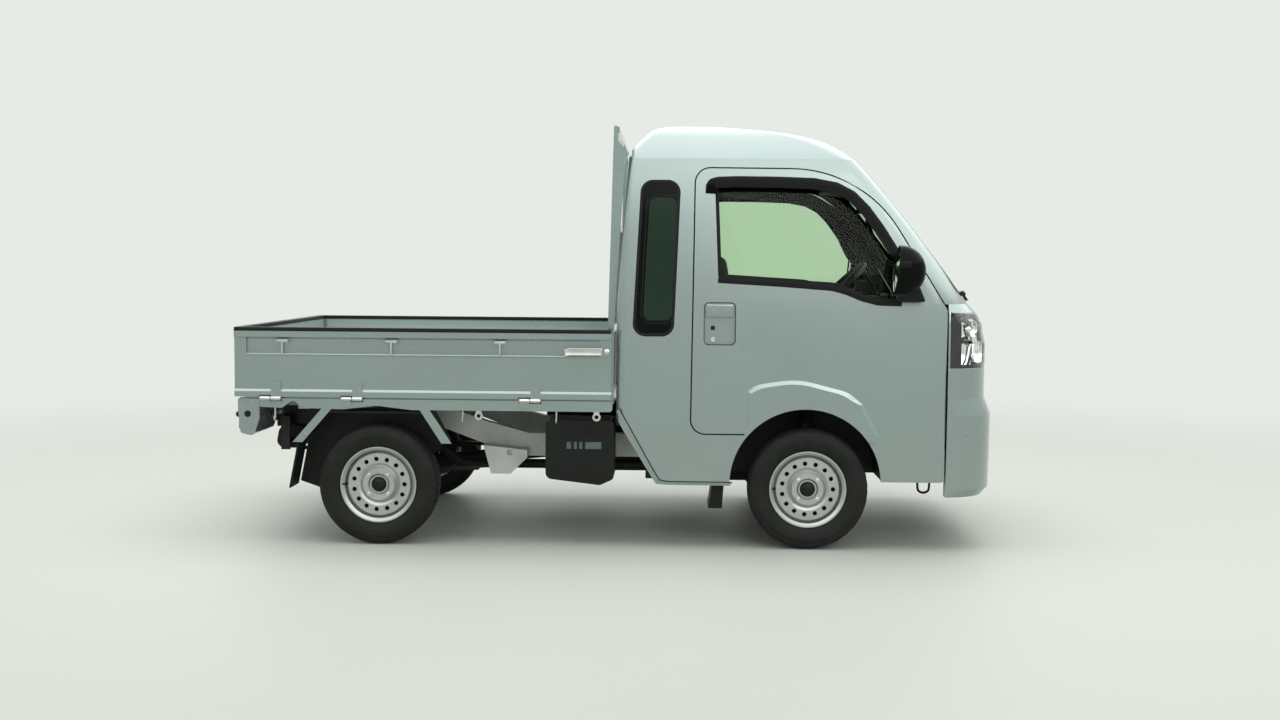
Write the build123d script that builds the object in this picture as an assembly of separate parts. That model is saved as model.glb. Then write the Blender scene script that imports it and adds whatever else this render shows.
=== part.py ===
"""Kei truck with a high-roof extended cab and a drop-side bed.

X points forward, Y to the truck's left and Z up, in millimetres.
The origin is on the ground under the middle of the truck.
"""
import os
from math import asin, cos, pi, radians, sin, sqrt

from build123d import *

# Overall size
LENGTH = 3395.0
WIDTH = 1475.0
HEIGHT = 1885.0
WHEELBASE = 1900.0
FRONT_OVERHANG = 861.0
TRACK = 1300.0

# Gaps
CLEAR = 6.0
FIT = 0.3

# Wheels
TYRE_R = 265.0
TYRE_HALF = 72.5
RIM_R = 169.0
BEAD_R = 158.0
HUB_BORE_R = 28.0
VENT_HOLES = 15
VENT_RING_R = 113.0
VENT_HOLE_R = 10.0

# Cab
CAB_LENGTH = 1707.5
WALL = 50.0
FLARE = 6.0
ROOF_WALL = 32.0
SIDE_LEAN = 82.4
BELT_Z = 1086.0
ROOF_RISE = 170.0
SILL_Z = 285.0
WAIST_Z = 640.0
BUMPER_TOP_Z = 800.0
SPLIT_Y = 590.0
BACK_CORNER_R = 40.0
GLASS_T = 5.0
HEADER = 75.0
FOOT_Z = 609.0
DOOR_STEP_Z = 512.0
SEAT_Z = 660.0
ARCH_R = 331.0
ARCH_Z = 292.0
ARCH_BACK = 14.5
ARCH_FLANGE = 16.0
ARCH_RELIEF = 26.0
LINER_GAP = 10.0
LINER_T = 6.0
LINER_IN = 412.0

# Doors
DOOR_FRONT_SETBACK = 268.5
DOOR_LENGTH = 1109.0
HINGE_ROUND_R = 12.0
PIN_R = 4.0
DOOR_HINGES = (470.0, 780.0)

# Bed
DECK_Z = 660.0
DECK_T = 26.0
GATE_HEIGHT = 300.0
GATE_T = 32.0
FLANGE_IN = 2.0
PANEL_IN = 8.0
BAND_IN = 21.0
HINGE_Z = 648.0
BED_FOOT_Z = 600.0
CORNER_LENGTH = 113.0
HINGE_R = 9.0
RIB_COUNT = 9
BOARD_T = 30.0

# Frame
RAIL_TOP = 467.0
RAIL_HEIGHT = 105.0
RAIL_IN = 345.0
RAIL_OUT = 405.0
KING_Y = 548.0
SPRING_Y = 455.0

# Steering
COLUMN_TILT = 45.0
COLUMN_Y = -330.0
WHEEL_SETBACK = 712.5
WHEEL_RISE = 44.0

# Positions that follow from the sizes above
HALF = WIDTH / 2
SKIN = HALF - FLARE
GUTTER_Z = HEIGHT - ROOF_RISE
PILLAR_RISE = GUTTER_Z - BELT_Z
X_FRONT = LENGTH / 2
X_REAR = -LENGTH / 2
FRONT_FROM = X_FRONT - 400.0
FRONT_TO = X_FRONT + 100.0
AXLE_F = X_FRONT - FRONT_OVERHANG
AXLE_R = AXLE_F - WHEELBASE
HUB_Z = TYRE_R
WHEEL_Y = TRACK / 2
CAB_BACK = X_FRONT - CAB_LENGTH
DOOR_FRONT = X_FRONT - DOOR_FRONT_SETBACK
DOOR_BACK = DOOR_FRONT - DOOR_LENGTH
DOOR_HINGE_X = DOOR_FRONT - HINGE_ROUND_R
DOOR_HINGE_Y = SKIN - HINGE_ROUND_R
NOSE_BACK = DOOR_FRONT + CLEAR
ARCH_X = AXLE_F - ARCH_BACK
BED_FRONT = CAB_BACK - 12.0
BED_BACK = X_REAR + 6.0
GATE_Z = HINGE_Z + CLEAR + 1.0
GATE_TOP = GATE_Z + GATE_HEIGHT
BOARD_TOP = GATE_TOP - 5.0
DECK_HALF = HALF - GATE_T - CLEAR - 1.0
BACK_IN = CAB_BACK + WALL
WHEEL_POINT = (X_FRONT - WHEEL_SETBACK, COLUMN_Y, BELT_Z + WHEEL_RISE)
BONNET_PIN_X = X_FRONT - 95.5
BONNET_PIN_Z = BELT_Z - 26.0


def box(x0, x1, y0, y1, z0, z1):
    """A plain block between two corners."""
    return Pos((x0 + x1) / 2, (y0 + y1) / 2, (z0 + z1) / 2) * Box(x1 - x0, y1 - y0, z1 - z0)


def rod(start, end, radius):
    """A round bar between two points."""
    a, b = Vector(*start), Vector(*end)
    return Part() + Solid.make_cylinder(radius, (b - a).length, Plane(a, z_dir=b - a))


def outline(points, radii=None):
    """A closed flat outline, with its corners rounded when radii are given."""
    if radii is None:
        return make_face(Polyline(*points, close=True))
    return make_face(FilletPolyline(*points, radius=radii, close=True))


def side_cut(sketch, near, far):
    """A side-view outline pushed through the truck's right side, between two distances from the middle."""
    return extrude(Plane.XZ.offset(near) * sketch, far - near)


def across(sketch, half):
    """A side-view outline pushed across the truck, as far to the left as to the right."""
    return extrude(Plane.XZ * sketch, half, both=True)


def front_cut(sketch, x0, x1):
    """A front-view outline (Y, Z) pushed along the truck."""
    return extrude(Plane.YZ.offset(x0) * sketch, x1 - x0)


def front_box(half, z0, z1):
    """A block through the nose, as wide to the left as to the right."""
    return box(FRONT_FROM, FRONT_TO, -half, half, z0, z1)


def left(part):
    """The same piece on the truck's left side."""
    return mirror(part, about=Plane.XZ)


def pair(part):
    """A right-hand piece together with its left-hand twin."""
    return Part() + [part, left(part)]


def half_width(z):
    """Half the cab's width: a slow barrel below the belt that leans in above it."""
    if z <= BELT_Z:
        return SKIN - (z - WAIST_Z) ** 2 / 14000.0
    share = (z - BELT_Z) / PILLAR_RISE
    return half_width(BELT_Z) - SIDE_LEAN * (0.486 * share + 0.514 * share ** 2)


def plan(z, half, front, back, corner, bow, inset):
    """The cab's outline seen from above at height z, moved inward by inset."""
    h, f, b = half - inset, front - inset, back + inset
    rc, rf = corner - inset, bow - inset
    rb = max(BACK_CORNER_R - inset, 6.0)
    centre = f - rf
    xc = centre + sqrt((rf - rc) ** 2 - (h - rc) ** 2)
    swing = asin((h - rc) / (rf - rc))
    xt, yt = centre + rf * cos(swing), rf * sin(swing)
    mid = (pi / 2 + swing) / 2
    xm, ym = xc + rc * cos(mid), h - rc + rc * sin(mid)
    s = rb * (1 - sqrt(0.5))
    edges = [
        Line((b + rb, -h), (xc, -h)),
        ThreePointArc((xc, -h), (xm, -ym), (xt, -yt)),
        ThreePointArc((xt, -yt), (f, 0), (xt, yt)),
        ThreePointArc((xt, yt), (xm, ym), (xc, h)),
        Line((xc, h), (b + rb, h)),
        ThreePointArc((b + rb, h), (b + s, h - s), (b, h - rb)),
        Line((b, h - rb), (b, -h + rb)),
        ThreePointArc((b, -h + rb), (b + s, -h + s), (b + rb, -h)),
    ]
    return Pos(0, 0, z) * make_face(edges)


# Height, setback of the front face, corner radius and bow radius of the nose
NOSE = [
    (240.0, 34.0, 200.0, 4000.0),
    (275.0, 3.0, 200.0, 4000.0),
    (600.0, 0.0, 200.0, 4000.0),
    (675.0, 30.0, 200.0, 4000.0),
    (905.0, 30.0, 200.0, 4000.0),
    (1000.0, 46.0, 200.0, 4000.0),
    (1050.0, 74.0, 195.0, 3800.0),
    (BELT_Z, 107.5, 190.0, 3600.0),
]

# Share of the pillar's rise, setback of the front, setback of the back, corner radius and bow radius
GLASSHOUSE = [
    (0.0, 107.5, 0.0, 190.0, 3600.0),
    (0.324, 245.0, 14.0, 120.0, 2900.0),
    (0.642, 398.0, 28.0, 90.0, 2600.0),
    (0.881, 528.0, 38.6, 80.0, 2600.0),
    (1.0, 598.0, 44.0, 80.0, 2600.0),
]

# Share of the roof's rise, inset of the side, setbacks of front and back, corner radius and bow radius
DOME = [
    (0.0, 0.0, 598.0, 44.0, 80.0, 2600.0),
    (0.294, 40.0, 672.0, 66.0, 110.0, 2600.0),
    (0.588, 92.0, 777.0, 108.0, 130.0, 2600.0),
    (0.794, 146.0, 927.0, 142.0, 150.0, 2600.0),
    (0.912, 212.0, 1071.0, 168.0, 160.0, 2600.0),
    (1.0, 282.0, 1217.0, 215.0, 160.0, 2600.0),
]


def nose(inset):
    rows = [plan(z, half_width(z), X_FRONT - s, NOSE_BACK - 200.0, c, w, inset) for z, s, c, w in NOSE]
    return loft(rows, ruled=True)


def lower(inset):
    rows = [
        plan(z, half_width(z), X_FRONT - 57.5, CAB_BACK, 200.0, 4000.0, inset)
        for z in (SILL_Z - 5.0, WAIST_Z, BELT_Z)
    ]
    return loft(rows)


def glasshouse(inset):
    rows = []
    for share, s, b, c, w in GLASSHOUSE:
        z = BELT_Z + share * PILLAR_RISE
        rows.append(plan(z, half_width(z), X_FRONT - s, CAB_BACK + b, c, w, inset))
    return loft(rows)


def dome(inset, drop):
    rows = []
    for share, side, s, b, c, w in DOME:
        z = GUTTER_Z + share * (ROOF_RISE - drop)
        half = half_width(GUTTER_Z) - side
        rows.append(plan(z, half, X_FRONT - s, CAB_BACK + b, c, w, inset))
    return loft(rows)


def up_pillar(share):
    """A height between the belt and the gutter."""
    return BELT_Z + share * PILLAR_RISE


# Outlines seen from the right side, as (X, Z)
door_line = outline(
    [
        (DOOR_BACK, DOOR_STEP_Z), (ARCH_X - 20, DOOR_STEP_Z), (ARCH_X - 20, SILL_Z + 20),
        (DOOR_FRONT, SILL_Z + 20), (DOOR_FRONT, BELT_Z - 26), (DOOR_FRONT - 375, GUTTER_Z - 47),
        (DOOR_BACK + 12, GUTTER_Z - 43),
    ],
    [60, 5, 5, 20, 25, 0.87 * PILLAR_RISE, 65],
)
window_line = outline(
    [
        (DOOR_BACK + 112, up_pillar(0.165)), (DOOR_FRONT - 484, up_pillar(0.118)),
        (DOOR_FRONT - 319, BELT_Z + 8), (DOOR_FRONT - 89, BELT_Z + 6),
        (DOOR_FRONT - 424, up_pillar(0.836)), (DOOR_BACK + 94, up_pillar(0.852)),
    ],
    [15, 150, 100, 20, 0.636 * PILLAR_RISE, 45],
)
quarter_line = outline(
    [
        (CAB_BACK + 68, BELT_Z - 151), (CAB_BACK + 102, up_pillar(0.849)),
        (CAB_BACK + 277, up_pillar(0.849)), (CAB_BACK + 250, BELT_Z - 151),
    ],
    [55, 55, 55, 55],
)
side_line = outline([
    (CAB_BACK - 20, FOOT_Z), (CAB_BACK + 178, SILL_Z), (ARCH_X, SILL_Z), (ARCH_X, BELT_Z - 86),
    (DOOR_FRONT - 60, BELT_Z - 86), (DOOR_FRONT - 60, BELT_Z), (X_FRONT, BELT_Z),
    (X_FRONT, GUTTER_Z), (CAB_BACK - 20, GUTTER_Z),
])
lamp_line = outline([
    (NOSE_BACK + 6, BUMPER_TOP_Z + 6), (X_FRONT + 20, BUMPER_TOP_Z + 6), (X_FRONT + 20, BELT_Z - 86),
    (X_FRONT - 60, BELT_Z - 56), (NOSE_BACK + 6, BELT_Z - 34),
])

# Outlines seen from the front, as (Y, Z)
windscreen_line = outline(
    [
        (-652, BELT_Z + 30), (652, BELT_Z + 30), (592, GUTTER_Z - HEADER), (-592, GUTTER_Z - HEADER),
    ],
    [45, 45, 50, 50],
)
back_window_line = outline(
    [
        (-500, up_pillar(0.086)), (500, up_pillar(0.086)), (470, up_pillar(0.801)), (-470, up_pillar(0.801)),
    ],
    [50, 50, 50, 50],
)

# The raised fender over the front wheel, seen from the right side, as (X, Z)
fender_line = outline(
    [
        (ARCH_X - 325, ARCH_Z + 120), (ARCH_X - 307, ARCH_Z + 476), (ARCH_X - 42, ARCH_Z + 518),
        (ARCH_X + 263, ARCH_Z + 443), (ARCH_X + 421, ARCH_Z + 133), (ARCH_X + 200, ARCH_Z + 120),
    ],
    [20, 60, 420, 110, 14, 20],
)

LAMP_IN = 432.0
BONNET_HALF = LAMP_IN - CLEAR
BONNET_Z = 905.0
BONNET_T = 18.0
BONNET_LUGS = (-300.0, 300.0)


def arch_round(radius, half):
    """A round block on the wheel arches' axis, reaching as far to the left as to the right."""
    return Pos(ARCH_X, 0, ARCH_Z) * Rot(90, 0, 0) * Cylinder(radius, 2 * half)


arch_cut = arch_round(ARCH_R, WIDTH) + arch_round(ARCH_R + ARCH_RELIEF, SKIN - ARCH_FLANGE)
shell = (lower(0) - lower(WALL)) + (glasshouse(0) - glasshouse(WALL))
cabin = lower(WALL + 8) + glasshouse(WALL + 8)
nose_shell = (nose(0) - nose(WALL)) & box(NOSE_BACK, FRONT_TO, -WIDTH, WIDTH, 0, BELT_Z)
door_hole = side_cut(offset(door_line, CLEAR), 560, 860)
window_hole = side_cut(window_line, 560, 860)
quarter_hole = side_cut(quarter_line, 560, 860)
windscreen_hole = front_cut(windscreen_line, X_FRONT - 800, FRONT_TO)
back_window_hole = front_cut(back_window_line, CAB_BACK - 100, CAB_BACK + 200)
lamp_block = across(lamp_line, WIDTH) - box(FRONT_FROM, FRONT_TO, -LAMP_IN, LAMP_IN, 0, HEIGHT)
lamp_hole = across(offset(lamp_line, FIT), WIDTH)
lamp_hole -= box(FRONT_FROM, FRONT_TO, -LAMP_IN + FIT, LAMP_IN - FIT, 0, HEIGHT)
bonnet_block = front_box(BONNET_HALF, BONNET_Z, BELT_Z - 3)
bonnet_hole = front_box(BONNET_HALF + CLEAR, BONNET_Z - CLEAR, BELT_Z + CLEAR)
grille_hole = front_box(430, 330, 480)
slot_hole = front_box(380, 830, 870)


def cab_side():
    """Quarter panel, door frame, sill and windscreen pillar in one."""
    zone = side_cut(side_line, SPLIT_Y, 860)
    return (shell & zone) - door_hole - quarter_hole - windscreen_hole - arch_cut


def cab_back():
    zone = box(CAB_BACK - 50, CAB_BACK + 120, -SPLIT_Y, SPLIT_Y, FOOT_Z, GUTTER_Z)
    return (shell & zone) - back_window_hole


def cab_roof():
    """The raised roof with the header over the windscreen."""
    header = shell & box(X_FRONT - 1000, X_FRONT, -SPLIT_Y, SPLIT_Y, GUTTER_Z - HEADER, GUTTER_Z)
    return (dome(0, 0) - dome(WALL, ROOF_WALL)) + (header - windscreen_hole)


def cab_front():
    """The nose between the bumper and the windscreen, with the cowl under the glass."""
    upper = nose_shell & front_box(WIDTH, BUMPER_TOP_Z, BELT_Z)
    cowl = shell & front_box(SPLIT_Y, BELT_Z, BELT_Z + 44)
    return upper + (cowl - windscreen_hole) - lamp_hole - bonnet_hole - slot_hole + bonnet_lugs()


def front_bumper():
    return (nose_shell & front_box(WIDTH, 0, BUMPER_TOP_Z)) - grille_hole


def front_grille():
    """The dark slats in the bumper mouth and in the slot above it."""
    bars = []
    for z in (350, 390, 430, 460):
        bars.append(front_box(430, z - 6, z + 6))
    bars.append(front_box(380, 845, 855))
    slats = Part() + bars
    return (nose(15) - nose(40)) & slats


def headlamps():
    return ((nose(0) - nose(WALL + 10)) & lamp_block) & box(NOSE_BACK, FRONT_TO, -WIDTH, WIDTH, 0, BELT_Z)


def bonnet():
    """The lid under the windscreen, notched at its top edge for two hinge lugs."""
    lid = (nose(0) - nose(BONNET_T)) & bonnet_block
    for y in BONNET_LUGS:
        lid -= box(BONNET_PIN_X - 60, X_FRONT, y - 17, y + 17, BONNET_PIN_Z - 20, BELT_Z + 10)
        lid -= rod((BONNET_PIN_X, y - 42, BONNET_PIN_Z), (BONNET_PIN_X, y + 42, BONNET_PIN_Z), PIN_R + FIT)
    return lid


def bonnet_lugs():
    """The fixed lugs and pins that the lid turns on."""
    x, z = BONNET_PIN_X, BONNET_PIN_Z
    lugs = []
    for y in BONNET_LUGS:
        lugs.append(box(x - 62, x + 6, y - 10, y + 10, z - 6, z + 6))
        lugs.append(box(x - 62, x - 46, y - 10, y + 10, z - 6, BELT_Z + 16))
        lugs.append(rod((x, y - 38, z), (x, y + 38, z), PIN_R))
    return lugs


def glass_in(sketch_cut, depth):
    skin = (glasshouse(depth) - glasshouse(depth + GLASS_T)) + (lower(depth) - lower(depth + GLASS_T))
    return skin & sketch_cut


def windscreen():
    return glass_in(front_cut(offset(windscreen_line, -FIT), X_FRONT - 800, FRONT_TO), 4.0)


def rear_windows():
    """The tall pane behind each door and the pane in the cab's back wall."""
    quarter = glass_in(side_cut(offset(quarter_line, -FIT), 560, 860), 5.0)
    back = glass_in(front_cut(offset(back_window_line, -FIT), CAB_BACK - 100, CAB_BACK + 200), 15.0)
    return Part() + [quarter, left(quarter), back]


def fender():
    """The raised field round the right front wheel, with a sloped border."""
    field = extrude(Plane.XZ.offset(SKIN - 20) * fender_line, 40, taper=70)
    return (lower(-FLARE) - lower(0)) & field


def door():
    """The whole door, cut round the wheel arch, with a recess for the handle."""
    skin = (shell & side_cut(door_line, 560, 860)) + fender()
    skin = skin - window_hole - arch_cut
    edge = box(DOOR_HINGE_X, DOOR_FRONT + 20, -HALF - 30, -HALF + 90, 0, BELT_Z - 14)
    edge -= Pos(DOOR_HINGE_X, -DOOR_HINGE_Y, HEIGHT / 2) * Cylinder(HINGE_ROUND_R, HEIGHT)
    recess = side_cut(
        outline([
            (DOOR_BACK + 52, BELT_Z - 186), (DOOR_BACK + 190, BELT_Z - 186),
            (DOOR_BACK + 190, BELT_Z), (DOOR_BACK + 52, BELT_Z),
        ], [20, 20, 20, 20]), SKIN - 20, 860)
    grip = side_cut(
        outline([
            (DOOR_BACK + 58, BELT_Z - 66), (DOOR_BACK + 184, BELT_Z - 66),
            (DOOR_BACK + 184, BELT_Z - 6), (DOOR_BACK + 58, BELT_Z - 6),
        ], [14, 14, 14, 14]), SKIN - 22, SKIN - 14)
    panel = skin - edge - recess + grip
    x, y = DOOR_HINGE_X, -DOOR_HINGE_Y
    for z in DOOR_HINGES:
        panel -= box(x - 13, DOOR_FRONT + 20, y - PIN_R - 4, y + 90, z - 14, z + 14)
        panel -= rod((x, y, z - 34), (x, y, z + 34), PIN_R + FIT)
    return panel


def door_hinge(z):
    """One fixed half of a right door hinge: an arm round the door's edge and its pin."""
    x, y = DOOR_HINGE_X, -DOOR_HINGE_Y
    arm = box(x - 5, x + 5, y - PIN_R, y + 57, z - 8, z + 8)
    arm += box(x - 5, NOSE_BACK + 20, y + 47, y + 57, z - 8, z + 8)
    arm += box(NOSE_BACK + 5, NOSE_BACK + 20, y + 47, y + 110, z - 8, z + 8)
    return arm + rod((x, y, z - 30), (x, y, z + 30), PIN_R)


def door_glass():
    return glass_in(side_cut(offset(window_line, -FIT), 560, 860), 22.0)


def door_mirror():
    """The mirror head and the arm that holds it on the window's front corner."""
    x0 = DOOR_FRONT - 255
    z0 = BELT_Z + 64
    head = outline(
        [(x0, z0 + 10), (x0 + 118, z0), (x0 + 118, z0 + 90), (x0 + 70, z0 + 190), (x0 + 5, z0 + 195)],
        [35, 35, 60, 35, 35])
    shell_head = side_cut(head, HALF + 15, HALF + 160)
    shell_head = fillet(shell_head.faces().sort_by(Axis.Y)[0].edges(), 30)
    arm = outline([(x0 + 40, z0 - 52), (x0 + 150, z0 - 54), (x0 + 118, z0 + 30), (x0 + 60, z0 + 40)])
    return shell_head + side_cut(arm, half_width(z0) - 10, HALF + 40) - glasshouse(-FIT) - lower(-FIT)


def tyre():
    rows = [(BEAD_R, 45.0), (171.0, 46.0), (184.0, 62.0), (220.0, TYRE_HALF), (252.0, 64.0), (TYRE_R, 48.0)]
    ring = [(r, -y) for r, y in rows] + [(r, y) for r, y in reversed(rows)]
    return revolve(outline(ring), axis=Axis.Y)


def rim():
    """A pressed steel wheel; its outer face looks along -Y."""
    seat = BEAD_R - FIT
    barrel = [
        (seat, -46.6), (RIM_R, -47.6), (RIM_R, -54.0), (163.0, -54.0), (seat - 6, -43.0),
        (seat - 6, 43.0), (163.0, 54.0), (RIM_R, 54.0), (RIM_R, 47.6), (seat, 46.6),
    ]
    disc = [
        (154.0, -14.0), (138.0, -34.0), (96.0, -34.0), (84.0, -28.0), (70.0, -45.0), (48.0, -45.0),
        (40.0, -36.0), (HUB_BORE_R, -36.0), (HUB_BORE_R, -29.0), (44.0, -29.0), (51.0, -38.0),
        (66.0, -38.0), (80.0, -21.0), (96.0, -27.0), (134.0, -27.0), (148.0, -8.0), (154.0, -8.0),
    ]
    body = revolve(outline(barrel), axis=Axis.Y) + revolve(outline(disc), axis=Axis.Y)
    hole = Pos(VENT_RING_R, -30, 0) * Rot(90, 0, 0) * Cylinder(VENT_HOLE_R, 60)
    return body - [Rot(0, 360.0 * i / VENT_HOLES, 0) * hole for i in range(VENT_HOLES)]


def knuckle():
    """Right front upright: strut, stub axle, brake drum and the pin in the lower arm."""
    y = -KING_Y
    strut = rod((AXLE_F, y, 212), (AXLE_F, y, 620), 22)
    pin = rod((AXLE_F, y, 180), (AXLE_F, y, 216), 10)
    stub = rod((AXLE_F, y + 18, HUB_Z), (AXLE_F, -605, HUB_Z), 40)
    drum = rod((AXLE_F, -600, HUB_Z), (AXLE_F, -642, HUB_Z), 105)
    spindle = rod((AXLE_F, -640, HUB_Z), (AXLE_F, -WHEEL_Y - 44, HUB_Z), HUB_BORE_R - FIT)
    return strut + pin + stub + drum + spindle


def front_suspension():
    """Cross member under the frame with one lower arm to each side."""
    beam = box(AXLE_F - 38, AXLE_F + 38, -RAIL_OUT, RAIL_OUT, 183, 222)
    for side in (-1, 1):
        y0, y1 = sorted((side * RAIL_IN, side * RAIL_OUT))
        beam += box(AXLE_F - 38, AXLE_F + 38, y0, y1, 200, RAIL_TOP - RAIL_HEIGHT)
        y0, y1 = sorted((side * (RAIL_OUT - 10), side * KING_Y))
        beam += box(AXLE_F - 25, AXLE_F + 25, y0, y1, 183, 205)
        beam += rod((AXLE_F, side * KING_Y, 183), (AXLE_F, side * KING_Y, 205), 25)
        beam -= rod((AXLE_F, side * KING_Y, 150), (AXLE_F, side * KING_Y, 230), 10 + FIT)
    return beam


def rear_axle():
    tube = rod((AXLE_R, -600, HUB_Z), (AXLE_R, 600, HUB_Z), 32)
    tube += rod((AXLE_R, -75, HUB_Z), (AXLE_R, 75, HUB_Z), 112)
    tube += rod((AXLE_R, 0, HUB_Z + 15), (AXLE_R + 150, 0, HUB_Z + 15), 45)
    for side in (-1, 1):
        tube += rod((AXLE_R, side * 585, HUB_Z), (AXLE_R, side * 642, HUB_Z), 105)
        tube += rod((AXLE_R, side * 640, HUB_Z), (AXLE_R, side * (WHEEL_Y + 44), HUB_Z), HUB_BORE_R - FIT)
        y0, y1 = sorted((side * (SPRING_Y - 30), side * (SPRING_Y + 30)))
        tube += box(AXLE_R - 45, AXLE_R + 45, y0, y1, HUB_Z, HUB_Z + 40)
    return tube - Pos(0, 0, -FIT) * pair(spring_right)


def leaf_spring():
    """The right rear spring, resting on the axle's pad."""
    seat = HUB_Z + 40
    front_x, eye_z = AXLE_R + 520, seat + 8
    rear_x, rear_z = AXLE_R - 470, seat + 110
    leaves = []
    for level, reach in ((2, 1.0), (1, 0.78), (0, 0.52)):
        low = seat + 8.0 * level
        front_z = eye_z + 8.0 * level
        face = make_face([
            ThreePointArc((front_x, front_z - 8), (AXLE_R, low), (rear_x, rear_z)),
            Line((rear_x, rear_z), (rear_x, rear_z + 8)),
            ThreePointArc((rear_x, rear_z + 8), (AXLE_R, low + 8), (front_x, front_z)),
            Line((front_x, front_z), (front_x, front_z - 8)),
        ])
        leaf = side_cut(face, SPRING_Y - 25, SPRING_Y + 25)
        leaves.append(leaf & box(AXLE_R - 480 * reach, AXLE_R + 530 * reach, -900, 0, 0, 900))
    spring = Part() + leaves
    for x, z in ((front_x, eye_z + 16), (rear_x, rear_z)):
        spring += rod((x, -SPRING_Y - 25, z), (x, -SPRING_Y + 25, z), 22)
        spring -= rod((x, -SPRING_Y - 40, z), (x, -SPRING_Y + 40, z), 10 + FIT)
    return spring


def frame():
    """Two rails that kick up over the rear axle, cross members and spring hangers."""
    low = RAIL_TOP - RAIL_HEIGHT
    rail_line = outline([
        (X_FRONT - 150, RAIL_TOP), (AXLE_R + 640, RAIL_TOP), (AXLE_R + 440, 520), (AXLE_R + 290, 575),
        (AXLE_R + 180, 585), (X_REAR + 130, 585), (X_REAR + 130, 500), (AXLE_R + 200, 500),
        (AXLE_R + 290, 470), (AXLE_R + 440, 414), (AXLE_R + 640, low), (X_FRONT - 150, low),
    ])
    rail = side_cut(rail_line, RAIL_IN, RAIL_OUT)
    hanger = side_cut(outline([
        (AXLE_R + 440, 420), (AXLE_R + 475, 290), (AXLE_R + 565, 290), (AXLE_R + 640, 366),
        (AXLE_R + 640, 400),
    ]), RAIL_OUT - 1, SPRING_Y + 45)
    hanger -= box(AXLE_R + 400, AXLE_R + 575, -SPRING_Y - 30, -SPRING_Y + 30, 200, 372)
    hanger -= rod((AXLE_R + 560, -SPRING_Y - 60, 388), (AXLE_R + 560, -SPRING_Y - 22, 388), 13)
    shackle_x, shackle_z = AXLE_R - 470, HUB_Z + 150
    hanger += box(shackle_x - 22, shackle_x + 22, -SPRING_Y - 45, -RAIL_OUT + 1, 500, 545)
    for y in (SPRING_Y - 38, SPRING_Y + 38):
        hanger += box(shackle_x - 20, shackle_x + 20, -y - 6, -y + 6, shackle_z - 24, 520)
    for x, z in ((AXLE_R + 520, HUB_Z + 64), (shackle_x, shackle_z)):
        hanger += rod((x, -SPRING_Y - 45, z), (x, -SPRING_Y + 45, z), 10)
    right = rail + hanger
    ladder = right + left(right)
    for x, z0, z1 in ((X_FRONT - 180, low + 10, RAIL_TOP - 10), (AXLE_F - 130, low + 5, low + 45),
                      (CAB_BACK - 320, low + 50, RAIL_TOP - 5), (AXLE_R + 260, 500, 560),
                      (X_REAR + 160, 510, 575)):
        ladder += box(x - 30, x + 30, -RAIL_IN - 1, RAIL_IN + 1, z0, z1)
    return ladder


def engine():
    """Engine, gearbox and propeller shaft as plain blocks."""
    back = CAB_BACK + 160
    body = box(back, AXLE_F - 170, -250, 250, 235, 630)
    body += rod((back + 10, 0, 350), (back - 420, 0, 350), 110)
    return body + rod((back - 410, 0, 345), (AXLE_R + 154, 0, HUB_Z + 15), 32)


def exhaust():
    start, can_x = CAB_BACK + 140, AXLE_R - 437
    path = FilletPolyline(
        (start, -225, 300), (AXLE_R + 303, -225, 300), (AXLE_R + 133, -225, 430), (can_x, -225, 430),
        radius=70)
    pipe = sweep(Plane(path @ 0, z_dir=path % 0) * Circle(22), path)
    pipe += box(start - 10, start + 20, -240, -210, 285, 315)
    can = outline(
        [(can_x - 130, 375), (can_x, 375), (can_x + 20, 480), (can_x - 110, 480)], [35, 35, 35, 35])
    return pipe + across(can, 320)


def cab_floor():
    """Footwell, seat platform over the wheels, fire wall, sills and the fixed door hinges."""
    half = half_width(300) - WALL - 22
    step = ARCH_X + ARCH_R + 30
    floor = box(step - 15, NOSE_BACK + 20, -half, half, RAIL_TOP, RAIL_TOP + 15)
    floor += box(step - 15, step, -half, half, RAIL_TOP, SEAT_Z)
    floor += box(BACK_IN, step, -half, half, SEAT_Z - 15, SEAT_Z)
    floor += box(NOSE_BACK + 5, NOSE_BACK + 20, -half + 20, half - 20, RAIL_TOP, BELT_Z - 86)
    for x0 in (CAB_BACK + 70, CAB_BACK + 550):
        for side in (-1, 1):
            y0, y1 = sorted((side * RAIL_IN, side * RAIL_OUT))
            floor += box(x0, x0 + 50, y0, y1, RAIL_TOP, SEAT_Z - 14)
    for side in (-1, 1):
        y0, y1 = sorted((side * (half - 60), side * half))
        floor += box(step, NOSE_BACK, y0, y1, 320, RAIL_TOP + 5)
        floor += box(CAB_BACK + 130, ARCH_X - ARCH_R - 30, y0, y1, 300, SEAT_Z - 14)
    for z in DOOR_HINGES:
        floor += pair(door_hinge(z))
    return floor


def wheel_houses():
    """Black liners round the front wheels, closed on the inside."""
    inner = ARCH_R + LINER_GAP
    outer = inner + LINER_T
    edge = SKIN - ARCH_FLANGE - 8
    room = arch_round(outer, edge) - arch_round(inner, edge + 10)
    room -= box(0, X_FRONT, -LINER_IN, LINER_IN, 0, HEIGHT)
    room += arch_round(outer, LINER_IN + LINER_T) - arch_round(outer + 10, LINER_IN)
    room &= box(0, X_FRONT, -HALF, HALF, ARCH_Z + 10, HEIGHT)
    for side in (-1, 1):
        y0, y1 = sorted((side * (KING_Y - 60), side * (KING_Y + 60)))
        room += box(ARCH_X - 40, ARCH_X + 40, y0, y1, ARCH_Z + inner + 4, SEAT_Z - 15)
    return room


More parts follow.
